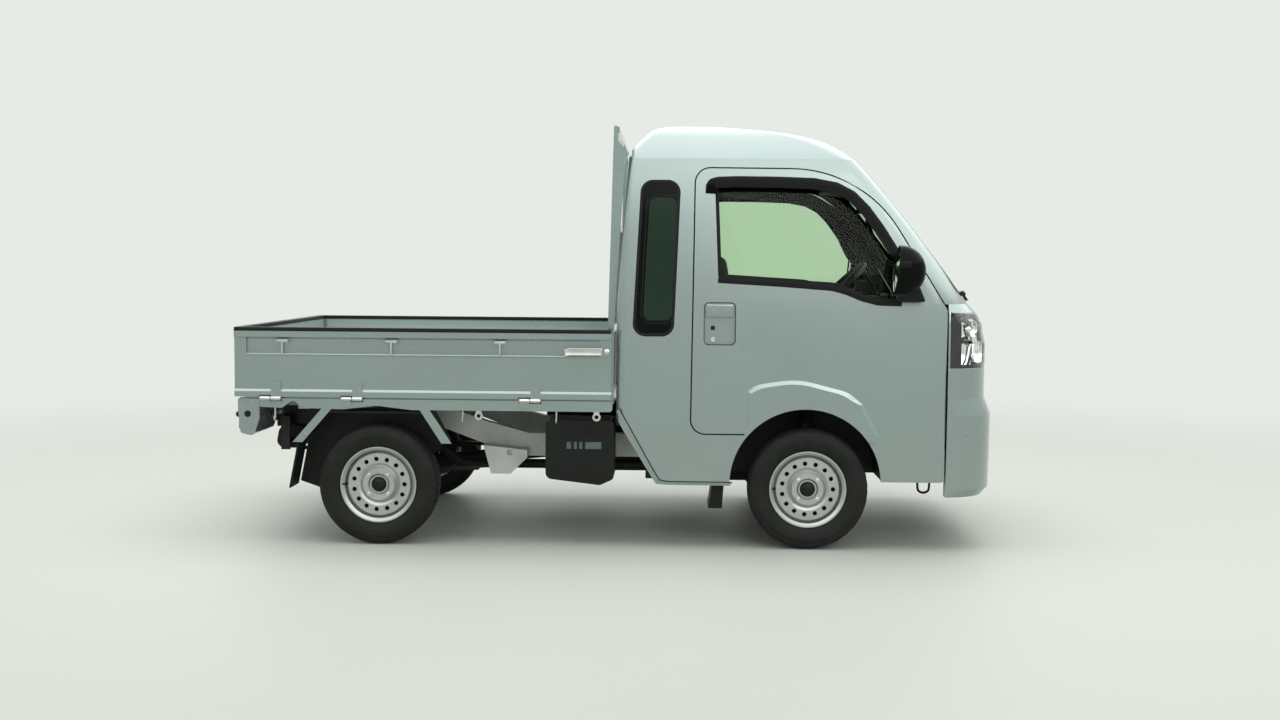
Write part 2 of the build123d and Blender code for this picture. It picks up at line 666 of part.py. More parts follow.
def dashboard():
    front = NOSE_BACK + 5
    body = across(outline(
        [
            (front - 255, BELT_Z - 181), (front - 255, BELT_Z - 71), (front - 220, BELT_Z - 26),
            (front - 110, BELT_Z - 2), (front, BELT_Z - 2), (front, BELT_Z - 346),
            (front - 140, BELT_Z - 346),
        ], [20, 30, 40, 60, 5, 5, 40]), 628)
    body += box(front - 2, front + 55, -420, 420, BELT_Z - 46, BELT_Z - 2)
    return (body & cabin) - rod(WHEEL_POINT, column_point(600), 22 + FIT)


def column_point(distance):
    """A point on the steering column, measured down from the wheel's centre."""
    a = radians(COLUMN_TILT)
    return (WHEEL_POINT[0] + distance * cos(a), WHEEL_POINT[1], WHEEL_POINT[2] - distance * sin(a))


def steering_column():
    tube = rod(column_point(28), column_point(560), 22)
    return tube + rod(column_point(-10), column_point(30), 12)


def steering_wheel():
    tilt = radians(COLUMN_TILT)
    plane = Plane(WHEEL_POINT, x_dir=(0, 1, 0), z_dir=(cos(tilt), 0, -sin(tilt)))
    wheel = Torus(178, 14)
    wheel += Pos(0, 0, 4) * Cylinder(36, 36)
    for turn in (0, 90, 180):
        wheel += Rot(0, 0, turn) * Pos(100, 0, 0) * Box(160, 34, 14)
    wheel -= Cylinder(12 + FIT, 200)
    return plane.location * wheel


def seat():
    """The driver's seat: cushion, back and head rest in one soft body."""
    x, foot, top = DOOR_BACK + 80, SEAT_Z + FIT, GUTTER_Z - 385
    cushion = outline(
        [(x, foot), (x + 480, foot), (x + 490, foot + 140), (x + 440, foot + 170), (x + 70, foot + 120)],
        [20, 30, 30, 40, 60])
    back = outline(
        [(x + 40, foot + 40), (x + 160, foot + 100), (x + 70, top), (x - 70, top)], [30, 60, 40, 40])
    head = outline(
        [(x - 35, top - 5), (x + 55, top - 5), (x + 35, top + 160), (x - 55, top + 160)], [20, 20, 30, 30])
    body = side_cut(cushion, 105, 560) + side_cut(back, 110, 555)
    return body + side_cut(head, 215, 450)


# Start and end of each wiper arm, across the truck
WIPER_ARMS = [(-560.0, -40.0), (-60.0, 420.0)]


def wipers():
    """Two arms that lie just above the glass, each on a foot at its right end."""
    z = BELT_Z + 32
    blade_room = glasshouse(-14) - glasshouse(-4)
    foot_room = glasshouse(-14) - glasshouse(-FIT)
    arms = Part()
    for y0, y1 in WIPER_ARMS:
        arm = outline([(y0, z), (y1, z + 24), (y1, z + 34), (y0, z + 10)])
        foot = outline([(y0, z - 18), (y0 + 30, z - 18), (y0 + 30, z + 10), (y0, z + 10)])
        arms += blade_room & front_cut(arm, FRONT_FROM, FRONT_TO)
        arms += foot_room & front_cut(foot, FRONT_FROM, FRONT_TO)
    return arms


def gate_blank(length):
    """A gate lying along +X from the origin; its top rail's face is at Y 0 and its foot at Z 0."""
    top = GATE_HEIGHT
    section = outline([
        (FLANGE_IN, 0), (FLANGE_IN, 24), (PANEL_IN, 34), (PANEL_IN, top - 112), (BAND_IN, top - 104),
        (BAND_IN, top - 44), (0, top - 36), (0, top), (GATE_T, top), (GATE_T, 0),
    ])
    return extrude(Plane.YZ * section, length)


def hinge_row(places, gate_side):
    """Hinge barrels along the gate's lower edge, for the gate or for the fixed rail."""
    shift = 24.0 if gate_side else -24.0
    foot = HINGE_Z - GATE_Z
    barrels = []
    for x in places:
        barrel = rod((x + shift - 22, 0, foot), (x + shift + 22, 0, foot), HINGE_R)
        if gate_side:
            barrel -= rod((x - 60, 0, foot), (x + 60, 0, foot), PIN_R + FIT)
            leaf = box(x + shift - 22, x + shift + 22, -1, PANEL_IN + 2, foot + PIN_R + 1, foot + 75)
        else:
            barrel += rod((x - 46, 0, foot), (x + 44, 0, foot), PIN_R)
            leaf = box(x + shift - 22, x + shift + 22, 0, 20, foot - 30, foot)
        barrels.append(barrel + leaf)
    return barrels


def barrel_room(places, gate_side):
    """The room that those barrels need in the piece across the hinge."""
    shift = 24.0 if gate_side else -24.0
    foot = HINGE_Z - GATE_Z
    return [rod((x + shift - 27, 0, foot), (x + shift + 27, 0, foot), HINGE_R + CLEAR) for x in places]


SIDE_LENGTH = BED_FRONT - BED_BACK - 8.0
SIDE_HINGES = (160.0, 520.0, 1305.0)
SIDE_CLIPS = (212.0, 693.0, 1172.0)
SIDE_AT = Pos(BED_BACK, -HALF, GATE_Z)
REAR_LENGTH = 2 * (HALF - GATE_T - CLEAR - 1.0)
REAR_HINGES = (200.0, REAR_LENGTH / 2, REAR_LENGTH - 200.0)
REAR_AT = Pos(X_REAR + HINGE_R, REAR_LENGTH / 2, GATE_Z) * Rot(0, 0, -90)


def side_gate():
    """A side gate with end columns, three T-shaped clips and the latch at its front end."""
    body = gate_blank(SIDE_LENGTH)
    for x in (0, SIDE_LENGTH - 52):
        body += box(x, x + 52, PANEL_IN, GATE_T, 0, GATE_HEIGHT)
    body -= barrel_room(SIDE_HINGES, False)
    body += hinge_row(SIDE_HINGES, True)
    for x in SIDE_CLIPS:
        body += box(x - 30, x + 30, 6, BAND_IN + 2, GATE_HEIGHT - 62, GATE_HEIGHT - 46)
        body += box(x - 5, x + 5, 6, BAND_IN + 2, GATE_HEIGHT - 112, GATE_HEIGHT - 50)
    body += box(SIDE_LENGTH - 190, SIDE_LENGTH - 8, -9, BAND_IN + 2, GATE_HEIGHT - 108, GATE_HEIGHT - 70)
    return SIDE_AT * body


def rear_gate():
    """The tailgate, with a latch at each end."""
    body = gate_blank(REAR_LENGTH) - barrel_room(REAR_HINGES, False) + hinge_row(REAR_HINGES, True)
    for x in (16.0, REAR_LENGTH - 136.0):
        body += box(x, x + 120, -9, BAND_IN + 2, GATE_HEIGHT - 108, GATE_HEIGHT - 70)
    return REAR_AT * body


def bed_floor():
    """Ribbed deck, edge rails, cross bearers, mudguard straps and the fixed hinge halves."""
    back = X_REAR + HINGE_R + GATE_T + CLEAR + 1.0
    sill_x = X_REAR + HINGE_R + CLEAR + 2.0
    rail_x = X_REAR + CORNER_LENGTH + 2.0
    deck = box(back, BED_FRONT, -DECK_HALF, DECK_HALF, DECK_Z - DECK_T, DECK_Z)
    pitch = 2 * DECK_HALF / RIB_COUNT
    for i in range(RIB_COUNT):
        y = -DECK_HALF + (i + 0.5) * pitch
        deck -= box(back + 40, BED_FRONT - 60, y - 35, y + 35, DECK_Z - 6, DECK_Z + 1)
    rail = outline([
        (rail_x, HINGE_Z), (BED_FRONT - 6, HINGE_Z), (BED_FRONT - 6, BED_FOOT_Z + 2),
        (AXLE_R + 150, BED_FOOT_Z + 2), (AXLE_R, BED_FOOT_Z + 20), (AXLE_R - 150, BED_FOOT_Z + 2),
        (AXLE_R - 320, BED_FOOT_Z + 6), (AXLE_R - 370, HINGE_Z - 8), (AXLE_R - 420, BED_FOOT_Z + 6),
        (rail_x, BED_FOOT_Z + 10),
    ], [5, 5, 10, 200, 200, 200, 15, 15, 15, 5])
    edge = side_cut(rail, DECK_HALF - 10, HALF - CLEAR - 1)
    edge -= [SIDE_AT * r for r in barrel_room(SIDE_HINGES, True)]
    edge += [SIDE_AT * h for h in hinge_row(SIDE_HINGES, False)]
    for x0, x1 in ((AXLE_R + 205, AXLE_R + 308), (AXLE_R - 215, AXLE_R - 352)):
        strap = outline([(x0 - 22, 612), (x0 + 22, 612), (x1 + 22, 455), (x1 - 22, 455)])
        edge += side_cut(strap, HALF - 13, HALF - 8)
    bed = deck + edge + left(edge)
    sill = box(sill_x, back + 2, -DECK_HALF, DECK_HALF, 600, HINGE_Z)
    sill -= [REAR_AT * r for r in barrel_room(REAR_HINGES, True)]
    sill += [REAR_AT * h for h in hinge_row(REAR_HINGES, False)]
    bed += sill + box(back - 2, back + 30, -DECK_HALF, DECK_HALF, 600, DECK_Z - 2)
    for x in (BED_FRONT - 98, BED_FRONT - 438, AXLE_R + 330, AXLE_R - 330):
        bed += box(x - 25, x + 25, -DECK_HALF, DECK_HALF, 600, DECK_Z - DECK_T + 2)
    for y in (-RAIL_OUT, RAIL_IN):
        bed += box(X_REAR + 135, AXLE_R + 170, y, y + RAIL_OUT - RAIL_IN, 585, DECK_Z - DECK_T + 2)
    return bed + front_board()


def front_board():
    """The fixed wall at the bed's front end, with two pressed fields."""
    x0, x1 = BED_FRONT - BOARD_T, BED_FRONT
    board = box(x0, x1, -DECK_HALF, DECK_HALF, DECK_Z - 2, BOARD_TOP)
    for y0, y1 in ((-DECK_HALF + 50, -25), (25, DECK_HALF - 50)):
        board -= box(x0 - 1, x0 + 9, y0, y1, DECK_Z + 45, BOARD_TOP - 45)
    return board


def guard_frame():
    """Posts, bars and rods on the front board that keep the load off the cab's back window."""
    x0, x1 = BED_FRONT - 30, BED_FRONT - 4
    low, middle, top = BOARD_TOP + 45, (BOARD_TOP + HEIGHT) / 2, HEIGHT - 45
    tip = HEIGHT - 30
    post = outline([
        (x0, BOARD_TOP), (x1, BOARD_TOP), (x1 + 44, GUTTER_Z - 15), (x1 + 62, GUTTER_Z + 21),
        (x1 + 16, GUTTER_Z + 75), (x1 + 10, tip), (x0 + 22, tip),
    ])
    guard = pair(side_cut(post, 600, 640))
    for z in (low, middle, top):
        lean = 22 * (z - BOARD_TOP) / (tip - BOARD_TOP)
        guard += box(x0 + lean, x0 + lean + 24, -610, 610, z - 14, z + 14)
    for i in range(9):
        y = -480 + 120 * i
        guard += box(x0 + 12, x0 + 22, y - 5, y + 5, low, middle)
    return guard


def rear_apron():
    """Lamp boxes at the two rear corners, each with a cheek up to the gate, and the panel between them."""
    x0, x1 = X_REAR + 18, X_REAR + CORNER_LENGTH
    lamp_box = outline(
        [(x0, BED_FOOT_Z), (x1, BED_FOOT_Z), (x1, 560), (x1 - 25, 480), (x0 + 10, 492)], [6, 6, 20, 20, 15])
    corner = side_cut(lamp_box, 430, HALF - 12)
    corner += box(x0, x1, -HALF + 12, -DECK_HALF - FIT, BED_FOOT_Z - 10, HINGE_Z - 3)
    panel = box(X_REAR + 40, X_REAR + 60, -440, 440, 500, BED_FOOT_Z)
    lamp_room = box(X_REAR, X_REAR + 45, -690, -470, 505, 590)
    corner -= lamp_room
    return corner + left(corner) + panel


def tail_lamps():
    lamp = box(X_REAR + 10, X_REAR + 45, -690 + FIT, -470 - FIT, 505 + FIT, 590 - FIT)
    return pair(lamp)


def battery_box():
    x0, x1 = CAB_BACK - 312, CAB_BACK - 10
    body = side_cut(outline(
        [(x0, 300), (x1 - 60, 272), (x1, 300), (x1, 560), (x0, 560)], [30, 20, 20, 20, 20]), 480, 690)
    for x, width in ((x0 + 92, 22), (x0 + 124, 16), (x0 + 148, 16), (x0 + 174, 74)):
        body -= box(x, x + width, -700, -682, 430, 466)
    return body + box(x0 + 122, x0 + 182, -482, -RAIL_OUT, 400, 440)


def fuel_tank():
    x0, x1 = CAB_BACK - 410, CAB_BACK - 30
    body = side_cut(outline([(x0, 280), (x1, 280), (x1, 540), (x0, 540)], [40, 40, 40, 40]), 440, 690)
    return left(body + box(x0 + 160, x0 + 240, -442, -RAIL_OUT, 400, 440))


def mudguards():
    """Black sheets round the rear wheels with their flaps, and the flaps behind the front wheels."""
    path = [
        (AXLE_R + 300, 455), (AXLE_R + 225, 586), (AXLE_R - 225, 586), (AXLE_R - 345, 455),
        (AXLE_R - 385, 250),
    ]
    back = [(x + (8 if x > AXLE_R else -8), z + (8 if z > 580 else 0)) for x, z in path]
    rear = side_cut(outline(path + back[::-1]), 590, 724)
    rear += box(AXLE_R - 20, AXLE_R + 20, -670, -640, 588, DECK_Z - DECK_T)
    x = ARCH_X - ARCH_R
    front = side_cut(outline([(x - 71, 300), (x - 21, 300), (x - 29, 170), (x - 91, 170)]), 470, 655)
    return Part() + [rear, left(rear), front, left(front)]


def tie_rings():
    """Rope rings under the bed's edge."""
    rings = []
    for x in (AXLE_R + 450, BED_FRONT - 73):
        ring = rod((x, -HALF + 24, 578), (x, -HALF + 12, 578), 18)
        ring += box(x - 12, x + 12, -HALF + 12, -HALF + 24, 578, 602)
        ring -= rod((x, -HALF + 40, 578), (x, -HALF, 578), 9)
        rings.append(ring)
    return pair(Part() + rings)


def tow_eye():
    """The closed eye under the front of the right rail."""
    x, top = X_FRONT - 332.5, RAIL_TOP - RAIL_HEIGHT
    plate = side_cut(
        outline([(x - 35, top), (x + 35, top), (x + 25, 255), (x - 25, 255)], [4, 4, 24, 24]),
        RAIL_IN + 20, RAIL_IN + 38)
    return plate - rod((x, -RAIL_IN, 282), (x, -RAIL_OUT, 282), 14)


def wheel_nodes():
    wheels = {}
    for name, x, side in (
        ("front_right", AXLE_F, -1), ("front_left", AXLE_F, 1),
        ("rear_right", AXLE_R, -1), ("rear_left", AXLE_R, 1),
    ):
        turn = Rot(0, 0, 0) if side < 0 else Rot(0, 0, 180)
        at = Pos(x, side * WHEEL_Y, HUB_Z) * turn
        wheels["tyre_" + name] = at * tyre()
        wheels["rim_" + name] = at * rim()
    return wheels


door_right = door()
glass_right = door_glass()
mirror_right = door_mirror()
side_right = cab_side()
knuckle_right = knuckle()
gate_right = side_gate()
seat_right = seat()
spring_right = leaf_spring()

nodes = {
    "frame": frame(),
    "cab_floor": cab_floor(),
    "cab_side_right": side_right,
    "cab_side_left": left(side_right),
    "cab_back": cab_back(),
    "cab_roof": cab_roof(),
    "cab_front": cab_front(),
    "front_bumper": front_bumper(),
    "front_grille": front_grille(),
    "headlamps": headlamps(),
    "windscreen": windscreen(),
    "rear_windows": rear_windows(),
    "wheel_houses": wheel_houses(),
    "dashboard": dashboard(),
    "steering_column": steering_column(),
    "seats": pair(seat_right),
    "wipers": wipers(),
    "engine": engine(),
    "exhaust": exhaust(),
    "front_suspension": front_suspension(),
    "rear_axle": rear_axle(),
    "leaf_springs": pair(spring_right),
    "bed_floor": bed_floor(),
    "guard_frame": guard_frame(),
    "rear_apron": rear_apron(),
    "tail_lamps": tail_lamps(),
    "battery_box": battery_box(),
    "fuel_tank": fuel_tank(),
    "mudguards": mudguards(),
    "tie_rings": tie_rings(),
    "tow_eye": tow_eye(),
    "bonnet": bonnet(),
    "door_right": door_right,
    "door_left": left(door_right),
    "door_glass_right": glass_right,
    "door_glass_left": left(glass_right),
    "door_mirror_right": mirror_right,
    "door_mirror_left": left(mirror_right),
    "gate_right": gate_right,
    "gate_left": left(gate_right),
    "gate_rear": rear_gate(),
    "knuckle_right": knuckle_right,
    "knuckle_left": left(knuckle_right),
    "steering_wheel": steering_wheel(),
}
nodes.update(wheel_nodes())

os.makedirs("parts", exist_ok=True)
for name, shape in nodes.items():
    export_step(shape, "parts/" + name + ".step")
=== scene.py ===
# %% [markdown]
# # A small truck, dressed for its portrait
# The solids of the truck come in already built and standing in their place. This lesson gives them
# their finishes and adds the small things that a solid leaves out: rubber, glass edges, lamps, seats.
# Everything is in metres. X points forward, Y to the truck's left and Z up.

# %% Load the solids
import math

import bpy
from mathutils import Matrix, Vector


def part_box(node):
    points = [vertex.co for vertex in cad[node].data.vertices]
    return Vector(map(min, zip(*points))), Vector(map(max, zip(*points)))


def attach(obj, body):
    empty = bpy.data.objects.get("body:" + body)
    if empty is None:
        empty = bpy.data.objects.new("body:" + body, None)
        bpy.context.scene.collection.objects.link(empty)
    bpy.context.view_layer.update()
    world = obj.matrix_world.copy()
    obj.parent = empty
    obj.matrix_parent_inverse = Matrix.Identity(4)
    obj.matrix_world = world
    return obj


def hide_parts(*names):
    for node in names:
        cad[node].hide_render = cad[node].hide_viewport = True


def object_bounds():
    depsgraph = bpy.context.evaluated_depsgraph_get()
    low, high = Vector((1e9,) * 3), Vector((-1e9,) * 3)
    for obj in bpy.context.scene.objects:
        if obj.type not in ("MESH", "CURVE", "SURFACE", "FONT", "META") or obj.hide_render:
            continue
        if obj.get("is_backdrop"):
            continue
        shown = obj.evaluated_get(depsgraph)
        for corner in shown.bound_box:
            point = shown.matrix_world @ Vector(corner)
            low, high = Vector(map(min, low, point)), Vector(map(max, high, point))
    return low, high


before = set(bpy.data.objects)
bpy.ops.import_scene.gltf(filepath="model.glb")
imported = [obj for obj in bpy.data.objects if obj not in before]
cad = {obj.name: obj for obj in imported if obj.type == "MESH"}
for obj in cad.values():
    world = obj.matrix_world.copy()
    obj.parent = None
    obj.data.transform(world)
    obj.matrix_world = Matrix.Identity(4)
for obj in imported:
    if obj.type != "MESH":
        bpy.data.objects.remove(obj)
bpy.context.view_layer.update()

# %% [markdown]
# ## Camera
# The picture was taken from the driver's side, a little above the door handle and about seven metres
# away. A long lens would flatten the far wheels, so the field of view is kept at the photograph's own.
# The three angles were found by matching the wheels, the roof and the gate's corners.

# %% Place the camera
CAMERA_PLACE = Vector((0.247, -6.803, 1.2405))
LENS_MM, SENSOR_MM = 39.2, 36
yaw, pitch, roll = (math.radians(angle) for angle in (-1.4415, 3.845, 0.451))
ahead = Vector((math.sin(yaw) * math.cos(pitch), math.cos(yaw) * math.cos(pitch), -math.sin(pitch)))
level = ahead.cross(Vector((0, 0, 1))).normalized()
above = level.cross(ahead)
across = level * math.cos(roll) + above * math.sin(roll)
upright = above * math.cos(roll) - level * math.sin(roll)
bpy.ops.object.select_all(action="DESELECT")
bpy.ops.object.camera_add()
camera = bpy.context.object
camera.name = "portrait_camera"
camera.data.sensor_fit = "HORIZONTAL"
camera.data.sensor_width = SENSOR_MM
camera.data.lens = LENS_MM
stand = Matrix((across, upright, -ahead)).transposed().to_4x4()
stand.translation = CAMERA_PLACE
camera.matrix_world = stand
bpy.context.scene.camera = camera
bpy.context.scene.view_settings.view_transform = "Standard"
print("camera at", [round(v, 2) for v in camera.location])

# %% [markdown]
# ## Floor and light
# A show room lights a car from its whole ceiling, so tops are bright and sides are quiet. One wide
# lamp overhead and one weak lamp in front do that. The world is plain soft light, and what the camera,
# the paint and the glass see of it is a pale wall. Gloss also mirrors a brighter ceiling above it. Far
# away the floor takes the wall's colour, so no hard line is left behind the truck.

# %% Lay the floor and hang the lamps
WALL, CEILING = (0.79, 0.83, 0.785, 1), (2.60, 2.68, 2.66, 1)
CEILING_FROM, CEILING_FULL = 0.32, 0.42
SOFT_COLOUR, SOFT_STRENGTH = (0.95, 1.0, 0.98, 1), 0.44
FLOOR_RADIUS = 45


def add_lamp(name, place, aim, wide, deep, power):
    """A soft rectangular lamp that looks at a point."""
    bpy.ops.object.select_all(action="DESELECT")
    bpy.ops.object.light_add(type="AREA", location=place)
    lamp = bpy.context.object
    lamp.name = name
    lamp.data.shape = "RECTANGLE"
    lamp.data.size, lamp.data.size_y = wide, deep
    lamp.data.energy = power
    lamp.rotation_euler = (Vector(aim) - Vector(place)).to_track_quat("-Z", "Y").to_euler()
    return lamp


ceiling = add_lamp("ceiling_lamp", (0.0, -0.4, 4.8), (0.0, 0.0, 0.0), 7.0, 4.0, 150)
ceiling.visible_glossy = False
add_lamp("front_lamp", (2.6, -6.0, 3.2), (0.2, 0.0, 0.9), 4.0, 2.0, 45)

world = bpy.data.worlds.new("pale_wall")
bpy.context.scene.world = world
world.use_nodes = True
tree = world.node_tree
soft_light = tree.nodes["Background"]
soft_light.inputs["Color"].default_value = SOFT_COLOUR
soft_light.inputs["Strength"].default_value = SOFT_STRENGTH


def seen_directly(net):
    """One for what the camera, a gloss or a glass sees, and zero for light that falls on things."""
    ray = net.nodes.new("ShaderNodeLightPath")
    ray.name = "ray"
    total = ray.outputs["Is Camera Ray"]
    for kind in ("Is Glossy Ray", "Is Transmission Ray"):
        larger = net.nodes.new("ShaderNodeMath")
        larger.operation = "MAXIMUM"
        net.links.new(total, larger.inputs[0])
        net.links.new(ray.outputs[kind], larger.inputs[1])
        total = larger.outputs[0]
    return total


wall = tree.nodes.new("ShaderNodeBackground")
facing = tree.nodes.new("ShaderNodeTexCoord")
height = tree.nodes.new("ShaderNodeSeparateXYZ")
shades = tree.nodes.new("ShaderNodeValToRGB")
start, end = shades.color_ramp.elements
start.position, start.color = CEILING_FROM, WALL
end.position, end.color = CEILING_FULL, CEILING
choose = tree.nodes.new("ShaderNodeMixShader")
tree.links.new(facing.outputs["Generated"], height.inputs[0])
tree.links.new(seen_directly(tree), choose.inputs["Fac"])
mirrored = tree.nodes.new("ShaderNodeMath")
mirrored.operation = "MULTIPLY"
tree.links.new(height.outputs["Z"], mirrored.inputs[0])
tree.links.new(tree.nodes["ray"].outputs["Is Glossy Ray"], mirrored.inputs[1])
tree.links.new(mirrored.outputs[0], shades.inputs["Fac"])
tree.links.new(shades.outputs["Color"], wall.inputs["Color"])
tree.links.new(soft_light.outputs[0], choose.inputs[1])
tree.links.new(wall.outputs[0], choose.inputs[2])
tree.links.new(choose.outputs[0], tree.nodes["World Output"].inputs["Surface"])

bpy.ops.object.select_all(action="DESELECT")
bpy.ops.mesh.primitive_circle_add(vertices=96, radius=FLOOR_RADIUS, fill_type="NGON")
floor = bpy.context.object
floor.name = "show_floor"
floor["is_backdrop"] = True
print("floor", floor.dimensions[:2])

# %% [markdown]
# ## A recipe for finishes
# No real surface is one flat colour: paint drifts, plastic has a grain, rubber is dusty. Each finish
# here lets a slow noise move the colour between two shades and the gloss between two values, and a
# fine noise may raise a grain. The patterns sit on object coordinates, so they stay with the piece.

# %% Make finishes
def finish(name, dark, light, drift=6.0, gloss=(0.3, 0.45), grain=0.0, grain_size=300.0, **constants):
    """A material whose colour and roughness wander, with an optional fine grain."""
    material = bpy.data.materials.new(name)
    material.use_nodes = True
    net = material.node_tree
    shader = net.nodes["Principled BSDF"]
    place = net.nodes.new("ShaderNodeTexCoord")
    cloud = net.nodes.new("ShaderNodeTexNoise")
    cloud.inputs["Scale"].default_value = drift
    cloud.inputs["Detail"].default_value = 6.0
    net.links.new(place.outputs["Object"], cloud.inputs["Vector"])
    shades = net.nodes.new("ShaderNodeValToRGB")
    start, end = shades.color_ramp.elements
    start.position, start.color = 0.3, (*dark, 1)
    end.position, end.color = 0.7, (*light, 1)
    net.links.new(cloud.outputs["Fac"], shades.inputs["Fac"])
    net.links.new(shades.outputs["Color"], shader.inputs["Base Color"])
    sheen = net.nodes.new("ShaderNodeMapRange")
    sheen.inputs["To Min"].default_value = gloss[0]
    sheen.inputs["To Max"].default_value = gloss[1]
    net.links.new(cloud.outputs["Fac"], sheen.inputs["Value"])
    net.links.new(sheen.outputs["Result"], shader.inputs["Roughness"])
    if grain:
        pores = net.nodes.new("ShaderNodeTexNoise")
        pores.inputs["Scale"].default_value = grain_size
        pores.inputs["Detail"].default_value = 3.0
        relief = net.nodes.new("ShaderNodeBump")
        relief.inputs["Strength"].default_value = grain
        relief.inputs["Distance"].default_value = 0.001
        net.links.new(place.outputs["Object"], pores.inputs["Vector"])
        net.links.new(pores.outputs["Fac"], relief.inputs["Height"])
        net.links.new(relief.outputs["Normal"], shader.inputs["Normal"])
    for socket, value in constants.items():
        shader.inputs[socket.replace("_", " ")].default_value = value
    return material


pale_floor = finish("pale_floor", (0.73, 0.75, 0.68), (0.77, 0.79, 0.72), 0.4, (0.5, 0.62), 0.05, 60.0)
floor.data.materials.append(pale_floor)
FADE_FROM, FADE_TO = 1.9, 8.0
net = pale_floor.node_tree
away = net.nodes.new("ShaderNodeVectorMath")
away.operation = "LENGTH"
fade = net.nodes.new("ShaderNodeMapRange")
fade.interpolation_type = "SMOOTHSTEP"
fade.inputs["From Min"].default_value, fade.inputs["From Max"].default_value = FADE_FROM, FADE_TO
shown = net.nodes.new("ShaderNodeMath")
shown.operation = "MULTIPLY"
distant = net.nodes.new("ShaderNodeEmission")
distant.inputs["Color"].default_value = WALL
blend = net.nodes.new("ShaderNodeMixShader")
net.links.new(net.nodes["Texture Coordinate"].outputs["Object"], away.inputs[0])
net.links.new(away.outputs["Value"], fade.inputs["Value"])
net.links.new(fade.outputs["Result"], shown.inputs[0])
net.links.new(seen_directly(net), shown.inputs[1])
net.links.new(shown.outputs[0], blend.inputs["Fac"])
net.links.new(net.nodes["Principled BSDF"].outputs[0], blend.inputs[1])
net.links.new(distant.outputs[0], blend.inputs[2])
net.links.new(blend.outputs[0], net.nodes["Material Output"].inputs["Surface"])
silver_paint = finish(
    "silver_green_paint", (0.278, 0.342, 0.330), (0.302, 0.368, 0.356), 1.4, (0.24, 0.31), 0.03, 38.0,
    Metallic=0.48, Coat_Weight=0.85, Coat_Roughness=0.05)
# The inner bed paint is the body paint made lighter, as painted light for faces in the bed's shade.
lit_bed_paint = finish(
    "lit_bed_inner_paint", (0.40, 0.475, 0.455), (0.44, 0.515, 0.495), 1.4, (0.34, 0.42), 0.03, 38.0,
    Metallic=0.15, Coat_Weight=0.4, Coat_Roughness=0.12)
chassis_paint = finish(
    "chassis_silver", (0.46, 0.48, 0.46), (0.60, 0.62, 0.60), 9.0, (0.42, 0.6), 0.12, 250.0, Metallic=0.3)
black_steel = finish(
    "underbody_black", (0.006, 0.006, 0.006), (0.018, 0.016, 0.014), 11.0, (0.5, 0.75), 0.25, 160.0,
    Specular_IOR_Level=0.25)
black_plastic = finish(
    "grained_black_plastic", (0.006, 0.007, 0.006), (0.012, 0.013, 0.012), 8.0, (0.42, 0.55), 0.3, 700.0,
    Specular_IOR_Level=0.2)
gloss_black = finish(
    "gloss_black", (0.003, 0.004, 0.003), (0.005, 0.006, 0.005), 5.0, (0.05, 0.10), Specular_IOR_Level=0.06)
soft_rubber = finish(
    "weather_rubber", (0.006, 0.006, 0.006), (0.011, 0.011, 0.011), 14.0, (0.6, 0.75), 0.15, 500.0,
    Specular_IOR_Level=0.2)
tyre_rubber = finish(
    "tyre_rubber", (0.009, 0.010, 0.009), (0.019, 0.020, 0.018), 16.0, (0.62, 0.82), 0.3, 420.0,
    Specular_IOR_Level=0.22)
wheel_silver = finish(
    "wheel_silver", (0.40, 0.42, 0.40), (0.47, 0.49, 0.47), 10.0, (0.32, 0.44), 0.06, 800.0, Metallic=0.7)
zinc = finish(
    "bright_zinc", (0.50, 0.51, 0.48), (0.62, 0.63, 0.60), 30.0, (0.28, 0.42), 0.05, 600.0, Metallic=0.85)
cabin_plastic = finish(
    "cabin_grey_plastic", (0.008, 0.010, 0.009), (0.014, 0.016, 0.015), 7.0, (0.5, 0.62), 0.4, 900.0,
    Specular_IOR_Level=0.12)
cabin_pale = finish(
    "cabin_pale_lining", (0.20, 0.21, 0.20), (0.26, 0.27, 0.26), 9.0, (0.65, 0.8), 0.4, 500.0)
belt_webbing = finish(
    "belt_webbing", (0.010, 0.010, 0.011), (0.018, 0.018, 0.019), 30.0, (0.7, 0.85), 0.5, 1400.0)
cell_grey = finish(
    "battery_cell_grey", (0.10, 0.14, 0.14), (0.15, 0.19, 0.19), 30.0, (0.4, 0.55), 0.1, 300.0)
green_glass = finish(
    "green_glass", (0.692, 0.828, 0.667), (0.708, 0.838, 0.684), 2.0, (0.0, 0.0),
    Transmission_Weight=1.0, IOR=1.16)
smoked_glass = finish(
    "smoked_glass", (0.13, 0.19, 0.15), (0.15, 0.21, 0.17), 2.0, (0.0, 0.0), Transmission_Weight=1.0, IOR=1.2)
clear_lens = finish(
    "clear_lens", (0.93, 0.95, 0.94), (0.96, 0.97, 0.96), 3.0, (0.0, 0.03), Transmission_Weight=1.0, IOR=1.45)
red_lens = finish(
    "red_lens", (0.50, 0.012, 0.012), (0.58, 0.02, 0.018), 20.0, (0.08, 0.16), Coat_Weight=0.6)
amber_lens = finish(
    "amber_lens", (0.85, 0.30, 0.03), (0.92, 0.36, 0.05), 20.0, (0.08, 0.18), Coat_Weight=0.6)
bright_chrome = finish(
    "lamp_chrome", (0.78, 0.80, 0.80), (0.86, 0.87, 0.87), 25.0, (0.05, 0.14), Metallic=1.0)
print(len(bpy.data.materials), "finishes")

# %% [markdown]
# ## Finishes for the solids
# Panels that carry the body colour share one paint, so that light runs across their seams. Chassis
# pieces get tougher coats. The table names the finish once and then every solid that wears it.

